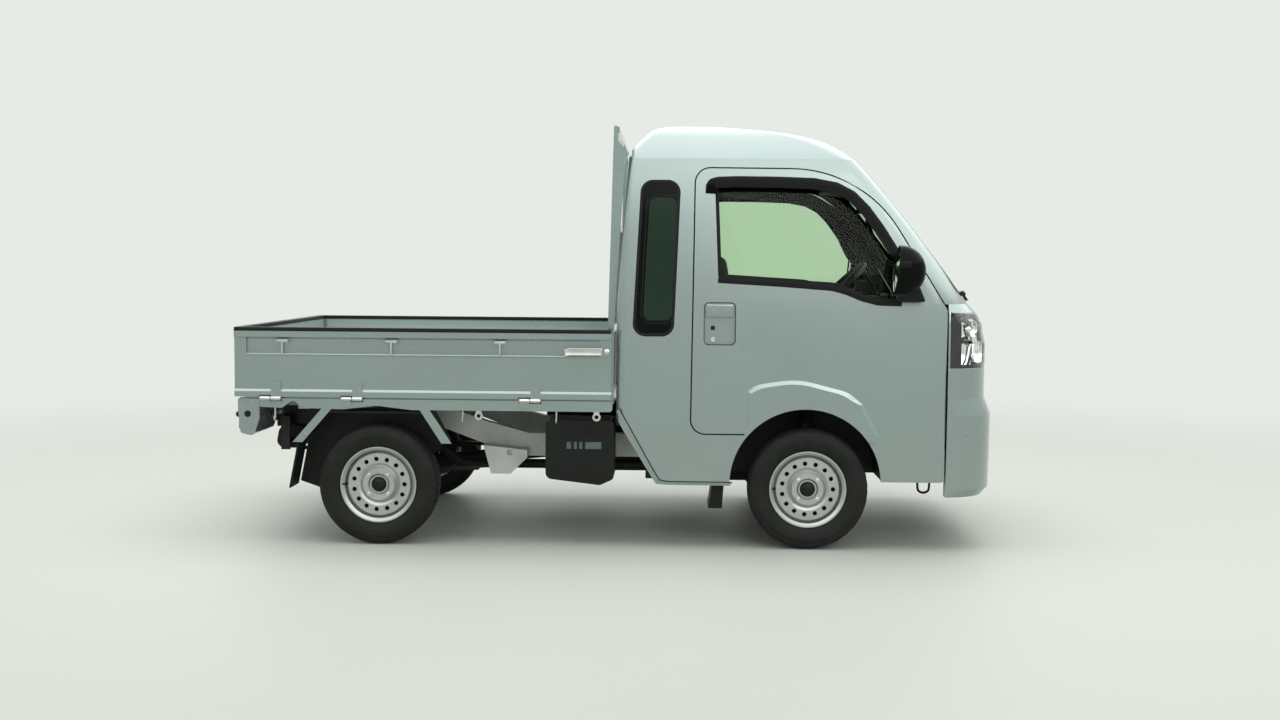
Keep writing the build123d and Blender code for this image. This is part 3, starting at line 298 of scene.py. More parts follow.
# %% Dress the solids
WEARS = [
    (silver_paint, "cab_side_right cab_side_left cab_back cab_roof cab_front front_bumper bonnet door_right "
                   "door_left gate_right gate_left gate_rear bed_floor guard_frame rear_apron"),
    (chassis_paint, "frame"),
    (black_steel, "engine exhaust front_suspension rear_axle leaf_springs knuckle_right knuckle_left "
                  "fuel_tank tow_eye cab_floor"),
    (black_plastic, "front_grille wheel_houses mudguards battery_box steering_column steering_wheel wipers"),
    (gloss_black, "door_mirror_right door_mirror_left"),
    (cabin_plastic, "dashboard seats"),
    (zinc, "tie_rings"),
    (tyre_rubber, "tyre_front_right tyre_front_left tyre_rear_right tyre_rear_left"),
    (wheel_silver, "rim_front_right rim_front_left rim_rear_right rim_rear_left"),
    (green_glass, "windscreen door_glass_right door_glass_left"),
    (smoked_glass, "rear_windows"),
    (clear_lens, "headlamps"),
    (red_lens, "tail_lamps"),
]
dressed = 0
for coat, names in WEARS:
    for name in names.split():
        cad[name].data.materials.clear()
        cad[name].data.materials.append(coat)
        dressed += 1
print(dressed, "of", len(cad), "solids dressed")

# %% [markdown]
# ## Hand tools
# By hand, one adds a primitive, opens it in edit mode, selects some faces and pulls them. These few
# functions are those moves. Selecting is done by a face's centre and normal, because that still works
# when a size changes, and every finished piece keeps its place in its mesh. In the tests below, m is a
# face's middle and n its normal.

# %% Define the hand tools
SIDES = ((-1, "right"), (1, "left"))


def only(piece):
    """Selects one piece and makes it active."""
    bpy.ops.object.select_all(action="DESELECT")
    piece.select_set(True)
    bpy.context.view_layer.objects.active = piece
    return piece


def settle(name):
    """Names the new primitive and puts its place into its mesh."""
    piece = bpy.context.object
    piece.name = name
    piece.data.name = name
    bpy.ops.object.transform_apply(location=True, rotation=True, scale=True)
    return piece


def block(name, corner, opposite):
    """A cube pulled to fill the space between two opposite corners."""
    corner, opposite = Vector(corner), Vector(opposite)
    bpy.ops.object.select_all(action="DESELECT")
    bpy.ops.mesh.primitive_cube_add(size=1, location=(corner + opposite) / 2)
    bpy.context.object.scale = [abs(span) for span in opposite - corner]
    return settle(name)


def open_all(piece):
    """Opens a piece in edit mode with everything selected."""
    only(piece)
    bpy.ops.object.mode_set(mode="EDIT")
    bpy.ops.mesh.select_all(action="SELECT")


def pick(piece, test):
    """Opens a piece in edit mode with the faces selected whose centre and normal pass the test."""
    only(piece)
    bpy.ops.object.mode_set(mode="EDIT")
    bpy.ops.mesh.select_mode(type="FACE")
    bpy.ops.mesh.select_all(action="DESELECT")
    bpy.ops.object.mode_set(mode="OBJECT")
    for face in piece.data.polygons:
        face.select = bool(test(face.center, face.normal))
    bpy.ops.object.mode_set(mode="EDIT")


def put_down():
    """Leaves edit mode."""
    bpy.ops.object.mode_set(mode="OBJECT")


def pull(piece, test, move):
    """Moves the picked faces, and the faces round them stretch."""
    pick(piece, test)
    bpy.ops.transform.translate(value=move)
    put_down()


def narrow(piece, test, shares, about):
    """Scales the picked faces towards a point."""
    pick(piece, test)
    bpy.ops.transform.resize(value=shares, center_override=about)
    put_down()


def press(piece, test, rim, move):
    """Insets the picked faces by a rim, if there is one, and extrudes the field inside it."""
    pick(piece, test)
    if rim:
        bpy.ops.mesh.inset(thickness=rim, use_even_offset=True)
    bpy.ops.mesh.extrude_region_move(TRANSFORM_OT_translate={"value": move})
    put_down()


def work(piece, kind, **settings):
    """Adds a modifier and applies it."""
    only(piece)
    tool = piece.modifiers.new(kind, kind)
    for key, value in settings.items():
        setattr(tool, key, value)
    bpy.ops.object.modifier_apply(modifier=tool.name)
    return piece


def ease(piece, width, segments=3, angle=40):
    """Rounds the sharp edges of a piece."""
    return work(piece, "BEVEL", width=width, segments=segments, limit_method="ANGLE",
                angle_limit=math.radians(angle))


def fit(piece, coat, body="truck", angle=35):
    """Gives a piece its finish and smooth shading, and lets it move with a body of the truck."""
    only(piece)
    piece.data.materials.clear()
    piece.data.materials.append(coat)
    bpy.ops.object.shade_smooth_by_angle(angle=math.radians(angle))
    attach(piece, body)
    return piece


def copy_of(piece, name, move=(0, 0, 0), mirror=False):
    """A copy with its own mesh, moved, or mirrored to the truck's left side."""
    only(piece)
    bpy.ops.object.duplicate()
    bpy.context.object.location = move
    if mirror:
        bpy.context.object.scale.y = -1
    twin = settle(name)
    if mirror:
        open_all(twin)
        bpy.ops.mesh.normals_make_consistent(inside=False)
        put_down()
    return twin


def pair(piece, coat, bodies=("door_right", "door_left"), angle=35):
    """Fits a right-hand piece and its mirrored twin, and gives back the twin."""
    twin = copy_of(piece, piece.name.replace("right", "left"), mirror=True)
    fit(piece, coat, bodies[0], angle)
    fit(twin, coat, bodies[1], angle)
    return twin


def lift_pane(housing, name, test, rim, depth, gap, thickness):
    """Sinks a field forwards into a housing and lifts its floor off as a pane."""
    press(housing, test, rim, (depth, 0, 0))
    bpy.ops.object.mode_set(mode="EDIT")
    bpy.ops.mesh.duplicate_move(TRANSFORM_OT_translate={"value": (-gap, 0, 0)})
    bpy.ops.mesh.separate(type="SELECTED")
    put_down()
    pane = [piece for piece in bpy.context.selected_objects if piece is not housing][0]
    only(pane)
    settle(name)
    return work(pane, "SOLIDIFY", thickness=thickness, offset=0)


def turned(name, centre, axis, section, steps):
    """A ring or disc: its section, as radius and distance along the axis, is spun once round."""
    axis = Vector(axis).normalized()
    side = axis.orthogonal().normalized()
    bpy.ops.object.select_all(action="DESELECT")
    bpy.ops.mesh.primitive_circle_add(vertices=len(section), radius=1)
    piece = settle(name)
    for point, (radius, along) in zip(piece.data.vertices, section):
        point.co = Vector(centre) + side * radius + axis * along
    open_all(piece)
    bpy.ops.mesh.spin(steps=steps, angle=2 * math.pi, center=centre, axis=axis)
    bpy.ops.mesh.select_all(action="SELECT")
    bpy.ops.mesh.remove_doubles(threshold=0.00002)
    bpy.ops.mesh.normals_make_consistent(inside=False)
    put_down()
    return piece


def ring_between(name, outer, inner):
    """A flat closed band: a circle laid on one outline, its edges extruded to a second one."""
    bpy.ops.object.select_all(action="DESELECT")
    bpy.ops.mesh.primitive_circle_add(vertices=len(outer), radius=1)
    piece = settle(name)
    for point, place in zip(piece.data.vertices, outer):
        point.co = place
    open_all(piece)
    bpy.ops.mesh.extrude_edges_move()
    put_down()
    for index, place in enumerate(inner):
        piece.data.vertices[len(outer) + index].co = place
    return piece


def strip(name, rows):
    """An open sheet: a grid whose rows of points are laid along given lines."""
    bpy.ops.object.select_all(action="DESELECT")
    bpy.ops.mesh.primitive_grid_add(
        x_subdivisions=len(rows[0]) - 1, y_subdivisions=len(rows) - 1, size=1)
    piece = settle(name)
    places = [place for row in rows for place in row]
    for point, place in zip(piece.data.vertices, places):
        point.co = place
    return piece


def tube(name, points, radius, closed=False, sides=4):
    """A round bar along a smooth line through control points."""
    bpy.ops.object.select_all(action="DESELECT")
    bpy.ops.curve.primitive_nurbs_path_add()
    line = bpy.context.object
    line.data.splines.clear()
    spline = line.data.splines.new("NURBS")
    spline.points.add(len(points) - 1)
    for point, place in zip(spline.points, points):
        point.co = (*place, 1)
    spline.order_u = 3
    spline.use_endpoint_u = not closed
    spline.use_cyclic_u = closed
    spline.resolution_u = 6
    line.data.bevel_depth = radius
    line.data.bevel_resolution = sides
    line.data.use_fill_caps = True
    bpy.ops.object.convert(target="MESH")
    return settle(name)


print("hand tools ready")

# %% [markdown]
# ## Tyres
# A small truck's tyre has a plain round shoulder, three grooves round it and short cross cuts. A torus
# would be too fat, so the real section is drawn once and spun. The cross cuts are faces of the outer
# ribs, pushed in after the spin.

# %% Spin the tyres
TYRE_SECTION = [
    (0.159, 0.046), (0.170, 0.049), (0.176, 0.056), (0.184, 0.0625), (0.200, 0.0695), (0.218, 0.0722),
    (0.224, 0.0722), (0.226, 0.0709), (0.238, 0.0698), (0.250, 0.0650), (0.257, 0.0590), (0.2615, 0.0520),
    (0.2632, 0.0460), (0.2638, 0.0320), (0.2590, 0.0310), (0.2590, 0.0265), (0.2644, 0.0255), (0.2650, 0.0040),
    (0.2595, 0.0030),
]
tread = TYRE_SECTION + [(radius, -out) for radius, out in reversed(TYRE_SECTION)]
FRONT_X, REAR_X, WHEEL_Y, HUB_Z = 0.8365, -1.0635, 0.650, 0.265
WHEELS = [
    ("front_right", FRONT_X, -1), ("front_left", FRONT_X, 1), ("rear_right", REAR_X, -1), ("rear_left", REAR_X, 1),
]
TYRE_STEPS, CUT_DEPTH = 120, 0.0045
first_tyre = turned("tyre_tread", (0, 0, 0), (0, -1, 0), tread, TYRE_STEPS)


def cross_cut(middle, normal):
    """Every third step of the shoulder ribs."""
    radius = math.hypot(middle.x, middle.z)
    turn = math.degrees(math.atan2(middle.z, middle.x)) % 360
    return radius > 0.2605 and abs(middle.y) > 0.034 and round(turn * TYRE_STEPS / 360 - 0.5) % 3 == 0


pick(first_tyre, cross_cut)
bpy.ops.mesh.extrude_region_shrink_fatten(TRANSFORM_OT_shrink_fatten={"value": -CUT_DEPTH})
put_down()
for name, x, side in WHEELS:
    tyre = copy_of(first_tyre, "tyre_dressed_" + name, (x, side * WHEEL_Y, HUB_Z))
    fit(tyre, tyre_rubber, "wheel_" + name, 30)
    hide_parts("tyre_" + name)
bpy.data.objects.remove(first_tyre)
print("four tyres of", len(tyre.data.polygons), "faces")

# %% [markdown]
# ## Wheel nuts, hub caps and valves
# Four nuts hold the wheel, a black cap closes the hub and a rubber valve looks through the disc. A
# nut is a six-sided cylinder whose outer edge is rounded by a bevel. It is modelled once and copied.

# %% Fit the wheels
HUB_FACE, NUT_CIRCLE = WHEEL_Y + 0.045, 0.059
bpy.ops.object.select_all(action="DESELECT")
bpy.ops.mesh.primitive_cylinder_add(vertices=6, radius=0.0105, depth=0.016, rotation=(math.radians(90), 0, 0))
first_nut = ease(settle("nut"), 0.002, 2)
for name, x, side in WHEELS:
    face = side * HUB_FACE
    nuts = []
    for turn in range(4):
        angle = math.radians(45 + 90 * turn)
        nuts.append(copy_of(first_nut, "nut", (x + NUT_CIRCLE * math.cos(angle), face + side * 0.004,
                                               HUB_Z + NUT_CIRCLE * math.sin(angle))))
    for nut in nuts:
        nut.select_set(True)
    bpy.ops.object.join()
    fit(settle("wheel_nuts_" + name), zinc, "wheel_" + name, 30)
    cap = turned("hub_cap_" + name, (x, face, HUB_Z), (0, side, 0),
                 [(0, 0.007), (0.014, 0.007), (0.021, 0.0045), (0.0265, 0.0), (0.0285, -0.006), (0.034, -0.0085),
                  (0.034, -0.0105), (0, -0.0105)], 32)
    fit(cap, black_plastic, "wheel_" + name)
    valve = turned("tyre_valve_" + name, (x - 0.146, face - side * 0.016, HUB_Z), (-0.25, side, 0),
                   [(0, 0.030), (0.0036, 0.030), (0.0040, 0.020), (0.0055, 0.012), (0.0062, 0.0), (0, 0.0)], 14)
    fit(valve, soft_rubber, "wheel_" + name)
bpy.data.objects.remove(first_nut)
print("nuts, caps and valves on four wheels")

# %% [markdown]
# ## Outlines on the cab's side
# The doors' windows and trims follow one leaning skin. The skin's distance from the middle depends on
# height only, so an outline drawn in the side view can be laid on it. Corners are rounded first, and
# points are then spread evenly, so that a band bends with the skin.

# %% Draw outlines on the skin
BELT_Z, WIDEST, WIDEST_Z, BOW = 1.086, 0.7315, 0.64, 14.0
LEAN, BEND = 0.0637, 0.107
CORNER_STEPS = 12


def skin(z):
    """Half the cab's width at a height: a shallow bow below the belt, a leaning bend above it."""
    if z <= BELT_Z:
        return WIDEST - (z - WIDEST_Z) ** 2 / BOW
    rise = z - BELT_Z
    return skin(BELT_Z) - LEAN * rise - BEND * rise ** 2


def rounded(corners, radii):
    """Points along a closed outline with round corners."""
    points = []
    for index, radius in enumerate(radii):
        here = Vector(corners[index])
        back = (Vector(corners[index - 1]) - here).normalized()
        on = (Vector(corners[(index + 1) % len(corners)]) - here).normalized()
        half = back.angle(on) / 2
        centre = here + (back + on).normalized() * radius / math.sin(half)
        start = here + back * radius / math.tan(half) - centre
        end = here + on * radius / math.tan(half) - centre
        for step in range(CORNER_STEPS + 1):
            points.append(centre + start.lerp(end, step / CORNER_STEPS).normalized() * radius)
    return points


def evenly(points, spacing, closed=True):
    """The same line with points at equal distances."""
    ends = points + points[:1] if closed else points
    runs = [(b - a).length for a, b in zip(ends, ends[1:])]
    count = max(int(sum(runs) / spacing), 4)
    spread, walked, index = [], 0.0, 0
    for step in range(count if closed else count + 1):
        target = sum(runs) * step / count
        while index < len(runs) - 1 and walked + runs[index] < target:
            walked += runs[index]
            index += 1
        spread.append(ends[index].lerp(ends[index + 1], (target - walked) / runs[index] if runs[index] else 0))
    return spread


def inside(points, distance, closed=True):
    """The line moved sideways, to its left as it runs."""
    moved = []
    for index, point in enumerate(points):
        if closed:
            on = points[(index + 1) % len(points)] - points[index - 1]
        else:
            on = points[min(index + 1, len(points) - 1)] - points[max(index - 1, 0)]
        on.normalize()
        moved.append(point + Vector((-on.y, on.x)) * distance)
    return moved


def on_skin(points, proud):
    """Side-view points laid on the right side of the cab, some distance outside its skin."""
    return [Vector((point.x, -skin(point.y) - proud, point.y)) for point in points]


door_window = evenly(rounded(
    [(0.432, 1.190), (0.945, 1.160), (1.110, 1.094), (1.340, 1.092), (1.005, 1.612), (0.414, 1.622)],
    [0.015, 0.150, 0.100, 0.020, 0.400, 0.045]), 0.016)
quarter_window = evenly(rounded(
    [(0.058, 0.935), (0.240, 0.935), (0.267, 1.620), (0.092, 1.620)], [0.055] * 4), 0.016)
print(len(door_window), "points round the door window,", len(quarter_window), "round the quarter window")

# %% [markdown]
# ## Rubber round the side windows
# A black run of rubber holds each side glass: it covers the raw edge of the opening and steps down to
# the pane. A band between two outlines, given a thickness, is quicker than a swept section and keeps
# its flat face.

# %% Seal the side windows
SEAL_EDGE = 0.0005
SEALS = [
    ("door_window_seal", door_window, 0.016, -0.018, 0.013, ("door_right", "door_left")),
    ("quarter_window_seal", quarter_window, 0.013, -0.003, 0.003, ("truck", "truck")),
]
for name, line, wide, depth, thick, bodies in SEALS:
    outer = on_skin(inside(line, SEAL_EDGE), depth)
    inner = on_skin(inside(line, wide), depth)
    seal = ring_between(name + "_right", outer, inner)
    work(seal, "SOLIDIFY", thickness=thick, offset=0)
    ease(seal, 0.0015, 2)
    pair(seal, soft_rubber, bodies)
print("four window seals")

# %% [markdown]
# ## Belt strip and window visor
# The black belt strip wipes the glass along the door's sill. Above the window sits a smoked visor that
# keeps rain out of an open window: it hugs the frame at its top and stands off at its lower edge. Both
# are sheets laid along one run of the window's outline.

# %% Lay the belt strips and the visors
SILL = [(0.432, 1.188), (0.700, 1.1735), (0.930, 1.157), (0.990, 1.141), (1.060, 1.112), (1.130, 1.095),
        (1.230, 1.0925)]
BELT_ROWS = [(-0.017, 0.0012), (-0.012, 0.0045), (0.006, 0.0045), (0.009, -0.014)]
sill_run = evenly([Vector(point) for point in SILL], 0.02, closed=False)
belt = strip("belt_strip_right", [on_skin(inside(sill_run, up, False), proud) for up, proud in BELT_ROWS])
work(belt, "SOLIDIFY", thickness=0.002, offset=-1)
pair(belt, soft_rubber)

VISOR = [(0.374, 1.562), (0.376, 1.600), (0.392, 1.624), (0.425, 1.634), (0.520, 1.6375), (0.700, 1.6360),
         (0.850, 1.631), (0.950, 1.612), (1.025, 1.573), (1.090, 1.507), (1.150, 1.425), (1.215, 1.322),
         (1.262, 1.248)]
VISOR_GAP, VISOR_END_STEPS = 0.0006, 7
VISOR_ROWS = [(0.0, VISOR_GAP), (-0.006, 0.0075), (-0.022, 0.0150), (-0.040, 0.0210), (-0.050, 0.0228)]
visor_run = evenly([Vector(point) for point in VISOR], 0.012, closed=False)
rows = []
for drop, proud in VISOR_ROWS:
    row = []
    for index, point in enumerate(inside(visor_run, drop, False)):
        to_end = min(index, len(visor_run) - 1 - index)
        stand_off = (proud - VISOR_GAP) * min(1.0, to_end / VISOR_END_STEPS) ** 0.6
        row.append(Vector((point.x, -skin(point.y) - VISOR_GAP - stand_off, point.y)))
    rows.append(row)
visor = strip("rain_visor_right", rows)
work(visor, "SOLIDIFY", thickness=0.0025, offset=0)
pair(visor, gloss_black, angle=60)
print("belt strips and visors, visor", len(visor.data.polygons), "faces")

# %% [markdown]
# ## Black caps on the gates
# Each gate of the bed has a black plastic cap along its top edge, which takes the knocks of loading.
# Each is a long block. Its underside is inset and pushed up, which leaves a lip down either side of
# the gate, and its edges are rounded.

# %% Cap the gates
CAP_SHORT, CAP_DOWN, CAP_UP = 0.002, 0.010, 0.007


def gate_cap(name, low, high, body):
    """A cap over a gate's top edge with a lip down each side."""
    cap = block(name, low, high)
    press(cap, lambda m, n: n.z < -0.9, 0.0028, (0, 0, 0.0085))
    ease(cap, 0.0018, 2)
    return fit(cap, black_plastic, body)


for side, name in SIDES:
    low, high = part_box("gate_" + name)
    gate_cap("gate_cap_" + name, (low.x + CAP_SHORT, side * 0.7395, high.z - CAP_DOWN),
             (high.x - CAP_SHORT, side * 0.7035, high.z + CAP_UP), "gate_" + name)
low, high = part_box("gate_rear")
gate_cap("gate_cap_rear", (-1.6905, low.y + CAP_SHORT, high.z - CAP_DOWN),
         (-1.6545, high.y - CAP_SHORT, high.z + CAP_UP), "gate_rear")
print("three gate caps")

# %% [markdown]
# ## Headlamps
# A headlamp is a clear shell over a chrome tub, with bowls for the bulbs and a black mask round the
# rim. The solid lamp gives the outer shape, so its front faces are copied as the shell and its back
# faces as the tub. Modelling the shell anew would never meet the nose so exactly.

# %% Open up the headlamps
def faces_of(node, name, keep):
    """A copy of some faces of a solid, merged into one sheet."""
    piece = bpy.data.objects.new(name, cad[node].data.copy())
    piece.data.name = name
    bpy.context.scene.collection.objects.link(piece)
    open_all(piece)
    bpy.ops.mesh.remove_doubles(threshold=0.00005)
    put_down()
    pick(piece, lambda m, n: not keep(m, n))
    bpy.ops.mesh.delete(type="FACE")
    bpy.ops.mesh.select_all(action="SELECT")
    bpy.ops.mesh.tris_convert_to_quads()
    put_down()
    return piece


BOWLS = [
    ("main", (1.571, 0.560, 0.870), 0.048, clear_lens), ("upper", (1.545, 0.575, 0.975), 0.036, clear_lens),
    ("turn", (1.497, 0.655, 0.928), 0.021, amber_lens),
]
for side, name in SIDES:
    out = Vector((0.7071, side * 0.7071, 0))
    shell = faces_of("headlamps", "lamp_shell_" + name, lambda m, n: m.y * side > 0 and n.dot(out) > 0.4)
    mask = copy_of(shell, "lamp_mask_" + name)
    band = copy_of(shell, "lamp_band_" + name)
    open_all(band)
    bpy.ops.mesh.bisect(plane_co=(1.496, 0, 0), plane_no=(1, 0, 0), clear_outer=True)
    bpy.ops.mesh.select_all(action="SELECT")
    bpy.ops.transform.translate(value=(-0.003, -side * 0.004, 0))
    put_down()
    work(band, "SOLIDIFY", thickness=0.003, offset=-1)
    fit(band, gloss_black)
    tub = faces_of("headlamps", "lamp_tub_" + name, lambda m, n: m.y * side > 0 and n.dot(out) <= 0.4)
    work(shell, "SOLIDIFY", thickness=0.003, offset=-1)
    fit(shell, clear_lens, angle=50)
    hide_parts("headlamps")
    pick(mask, lambda m, n: True)
    bpy.ops.mesh.inset(thickness=0.017, use_boundary=True, use_even_offset=True)
    bpy.ops.mesh.delete(type="FACE")
    put_down()
    work(mask, "SOLIDIFY", thickness=0.006, offset=-1)
    pull(mask, lambda m, n: True, (-0.003, -side * 0.003, 0))
    fit(mask, gloss_black)
    work(tub, "SOLIDIFY", thickness=0.001, offset=-1)
    fit(tub, bright_chrome, angle=30)
    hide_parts("headlamps")
    aim = Vector((0.80, side * 0.60, 0.0))
    for kind, (x, y, z), radius, bulb_coat in BOWLS:
        bowl = turned("lamp_bowl_%s_%s" % (kind, name), (x, side * y, z), aim,
                      [(0.0, 0.0), (radius * 0.55, 0.004), (radius * 0.86, 0.015), (radius, 0.030),
                       (radius * 1.06, 0.030), (radius * 0.9, 0.011), (radius * 0.55, 0.0), (0.0, -0.004)], 28)
        fit(bowl, bright_chrome, angle=50)
        bulb = turned("lamp_bulb_%s_%s" % (kind, name), (x, side * y, z), aim,
                      [(0.0, 0.024), (radius * 0.20, 0.022), (radius * 0.32, 0.014), (radius * 0.30, 0.002),
                       (0.0, 0.002)], 20)
        fit(bulb, bulb_coat, angle=60)
    bar = block("lamp_bar_" + name, (1.515, side * 0.47, 0.915), (1.575, side * 0.70, 0.927))
    pull(bar, lambda m, n: m.y * side > 0.69, (-0.035, 0, 0))
    ease(bar, 0.003, 2)
    fit(bar, gloss_black)
print("two headlamps with bowls and masks")

# %% [markdown]
# ## Tail lamps
# The rear lamps sit in the corner boxes: a red field, an amber field and a clear one side by side,
# each a lens with fine upright flutes. Cutting the flutes as faces keeps them crisp: every second
# strip of a divided block is pulled out.

# %% Split the tail lamps
LENSES = [("red", 0.575, 0.688, red_lens), ("amber", 0.523, 0.573, amber_lens), ("clear", 0.472, 0.521, clear_lens)]
LENS_RIM, FLUTES = 0.005, 12
for side, name in SIDES:
    for kind, y0, y1, coat in LENSES:
        lens = block("tail_%s_%s" % (kind, name), (-1.686, side * y0, 0.507), (-1.662, side * y1, 0.588))
        pick(lens, lambda m, n: n.x < -0.9)
        bpy.ops.mesh.inset(thickness=LENS_RIM, use_even_offset=True)
        bpy.ops.mesh.extrude_region_move(TRANSFORM_OT_translate={"value": (-0.002, 0, 0)})
        bpy.ops.mesh.subdivide(number_cuts=FLUTES - 1)
        put_down()
        flute = (y1 - y0 - 2 * LENS_RIM) / FLUTES
        press(lens, lambda m, n: n.x < -0.9 and int((abs(m.y) - y0 - LENS_RIM) / flute) % 2 == 0,
              0, (-0.0012, 0, 0))
        fit(lens, coat)
        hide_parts("tail_lamps")
    case = block("tail_case_" + name, (-1.668, side * 0.4704, 0.5055), (-1.653, side * 0.6896, 0.5895))
    ease(case, 0.002, 2)
    fit(case, black_plastic)
print("two tail lamps with three fields each")

# %% [markdown]
# ## Door mirrors
# The mirror is a tall rounded housing on a flat foot at the window's front corner. A stretched ball,
# cut flat behind, has the right drop shape, where a block would keep its corners. The flat is inset and
# sunk, and the glass lies in that recess.

# %% Shape the door mirrors
mirror_glass = finish("mirror_glass", (0.82, 0.84, 0.85), (0.86, 0.88, 0.88), 3.0, (0.01, 0.04), Metallic=1.0)
bpy.ops.object.select_all(action="DESELECT")
bpy.ops.mesh.primitive_uv_sphere_add(segments=40, ring_count=24, radius=1, location=(1.208, -0.826, 1.230))
bpy.context.object.scale = (0.104, 0.072, 0.108)
head = settle("mirror_head_right")
open_all(head)
bpy.ops.mesh.bisect(plane_co=(1.186, -0.826, 1.230), plane_no=(-1, 0, 0.10), clear_outer=True, use_fill=True)
put_down()
ease(head, 0.006, 3, 50)
pane = lift_pane(head, "mirror_pane_right", lambda m, n: n.x < -0.97, 0.006, 0.006, 0.0015, 0.001)
foot = block("mirror_foot_right", (1.200, -0.775, 1.096), (1.326, -0.7155, 1.176))
narrow(foot, lambda m, n: n.z > 0.9, (0.55, 1, 1), (1.245, -0.74, 1.18))
pull(foot, lambda m, n: n.z > 0.9, (0, -0.024, 0))
ease(foot, 0.012, 4, 30)
for piece, coat, slot in ((head, gloss_black, "mirror_shell"), (pane, mirror_glass, "glass"),
                          (foot, black_plastic, "mirror_shell")):
    other = pair(piece, coat, angle=40)
    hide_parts("door_mirror_right")
    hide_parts("door_mirror_left")
print("two door mirrors, head of", len(head.data.polygons), "faces")

# %% [markdown]
# ## Door handles
# The handle is a body-coloured flap over a finger scoop, with a button and a key lock under it. The
# solid has the recess. The flap and the button are eased blocks and the lock is turned. A thin black band
# round the recess is painted shade, the dark line at the recess's edge.

# %% Fit the door handles
flap = block("handle_flap_right", (0.380, -0.7265, 1.020), (0.502, -0.7120, 1.078))
pull(flap, lambda m, n: n.z < -0.9, (0, 0.002, 0))
ease(flap, 0.006, 4)
lock = turned("handle_lock_right", (0.412, -0.7120, 0.923), (0, -1, 0),
              [(0.0, 0.0052), (0.0045, 0.0052), (0.0052, 0.0064), (0.0100, 0.0064), (0.0118, 0.0045),
               (0.0118, -0.002), (0.0, -0.002)], 24)
button = block("handle_button_right", (0.402, -0.7165, 0.966), (0.420, -0.7105, 0.984))
ease(button, 0.002, 2)
# The black band round the recess is painted shade for its dark edge.
recess_shade_line = evenly(rounded(
    [(0.3725, 0.901), (0.5095, 0.901), (0.5095, 1.0855), (0.3725, 1.0855)], [0.019] * 4), 0.008)
lip = ring_between("handle_lip_right", on_skin(inside(recess_shade_line, -0.0012), 0.0004),
                   on_skin(inside(recess_shade_line, 0.0016), 0.0004))
work(lip, "SOLIDIFY", thickness=0.0012, offset=0)
for piece, coat, slot in ((flap, silver_paint, "body_paint"), (lock, zinc, "body_paint"),
                          (button, black_plastic, "black_plastic"), (lip, soft_rubber, "black_plastic")):
    pair(piece, coat)
print("two door handles")

# %% [markdown]
# ## Number plates
# Both plates stay blank: a thin pale sheet with a pressed border in a black holder. The face is inset
# twice and its field is pushed back, so the border stands out as on a pressed plate.

# %% Hang the blank plates
plate_white = finish("plate_white", (0.80, 0.80, 0.77), (0.84, 0.84, 0.81), 12.0, (0.25, 0.35), 0.05, 400.0)
PLATE_HALF, PLATE_HALF_HEIGHT, PLATE_THICK = 0.165, 0.0825, 0.004
HOLDER_RIM, HOLDER_RISE, HOLDER_THICK = 0.007, 0.0065, 0.016


def blank_plate(name, x, facing, z):
    """A blank plate with a raised border and its holder."""
    back = x - facing * PLATE_THICK
    plate = block(name, (x, -PLATE_HALF, z - PLATE_HALF_HEIGHT), (back, PLATE_HALF, z + PLATE_HALF_HEIGHT))
    pick(plate, lambda m, n: n.x * facing > 0.9)
    bpy.ops.mesh.inset(thickness=0.006, use_even_offset=True)
    bpy.ops.mesh.inset(thickness=0.004, use_even_offset=True)
    bpy.ops.mesh.extrude_region_move(TRANSFORM_OT_translate={"value": (-facing * 0.0016, 0, 0)})
    put_down()
    ease(plate, 0.0008, 2)
    fit(plate, plate_white)
    half, half_height = PLATE_HALF + HOLDER_RIM, PLATE_HALF_HEIGHT + HOLDER_RISE
    holder = block(name + "_holder", (back, -half, z - half_height),
                   (back - facing * HOLDER_THICK, half, z + half_height))
    ease(holder, 0.003, 2)
    fit(holder, black_plastic)


blank_plate("front_plate", 1.7125, 1, 0.560)
blank_plate("rear_plate", -1.6690, -1, 0.548)
print("two blank plates")

# %% [markdown]
# ## Black border of the windscreen
# Glass is glued in over a printed black border, and a dark cover at its top centre hides a sensor.
# Both follow the curve of the pane. Points drawn in the front view are thrown against the pane, and
# where they land gives the band its bend.

# %% Border the windscreen
def on_pane(node, points, proud):
    """Front-view points thrown backwards against a pane, left a little in front of it."""
    landed = []
    for point in points:
        hit, place, normal, _ = cad[node].ray_cast(Vector((2.0, point.x, point.y)), Vector((-1, 0, 0)))
        assert hit, "a point misses the pane"
        landed.append(place + normal * proud)
    return landed


screen_line = evenly(rounded(
    [(-0.650, 1.118), (0.650, 1.118), (0.590, 1.638), (-0.590, 1.638)], [0.045, 0.045, 0.050, 0.050]), 0.02)
border = ring_between("screen_border", on_pane("windscreen", inside(screen_line, 0.0015), 0.0006),
                      on_pane("windscreen", inside(screen_line, 0.036), 0.0006))
work(border, "SOLIDIFY", thickness=0.0008, offset=1)
fit(border, gloss_black)
cover_rows = []
for z, half in ((1.470, 0.045), (1.490, 0.062), (1.530, 0.075), (1.575, 0.085), (1.604, 0.092)):
    row = [Vector((half * step / 6, z)) for step in range(-6, 7)]
    cover_rows.append(on_pane("windscreen", row, 0.0012))
cover = strip("screen_sensor_cover", cover_rows)
work(cover, "SOLIDIFY", thickness=0.007, offset=1)
ease(cover, 0.003, 3, 50)
fit(cover, gloss_black)
print("windscreen border of", len(screen_line), "points")

# %% [markdown]
# ## Wiper pivots and blades
# The solid wipers are the arms. A blade of thin rubber hangs under each arm and a domed cap hides the
# nut of its pivot. The cap is turned, and the blade is a strip laid between arm and glass.

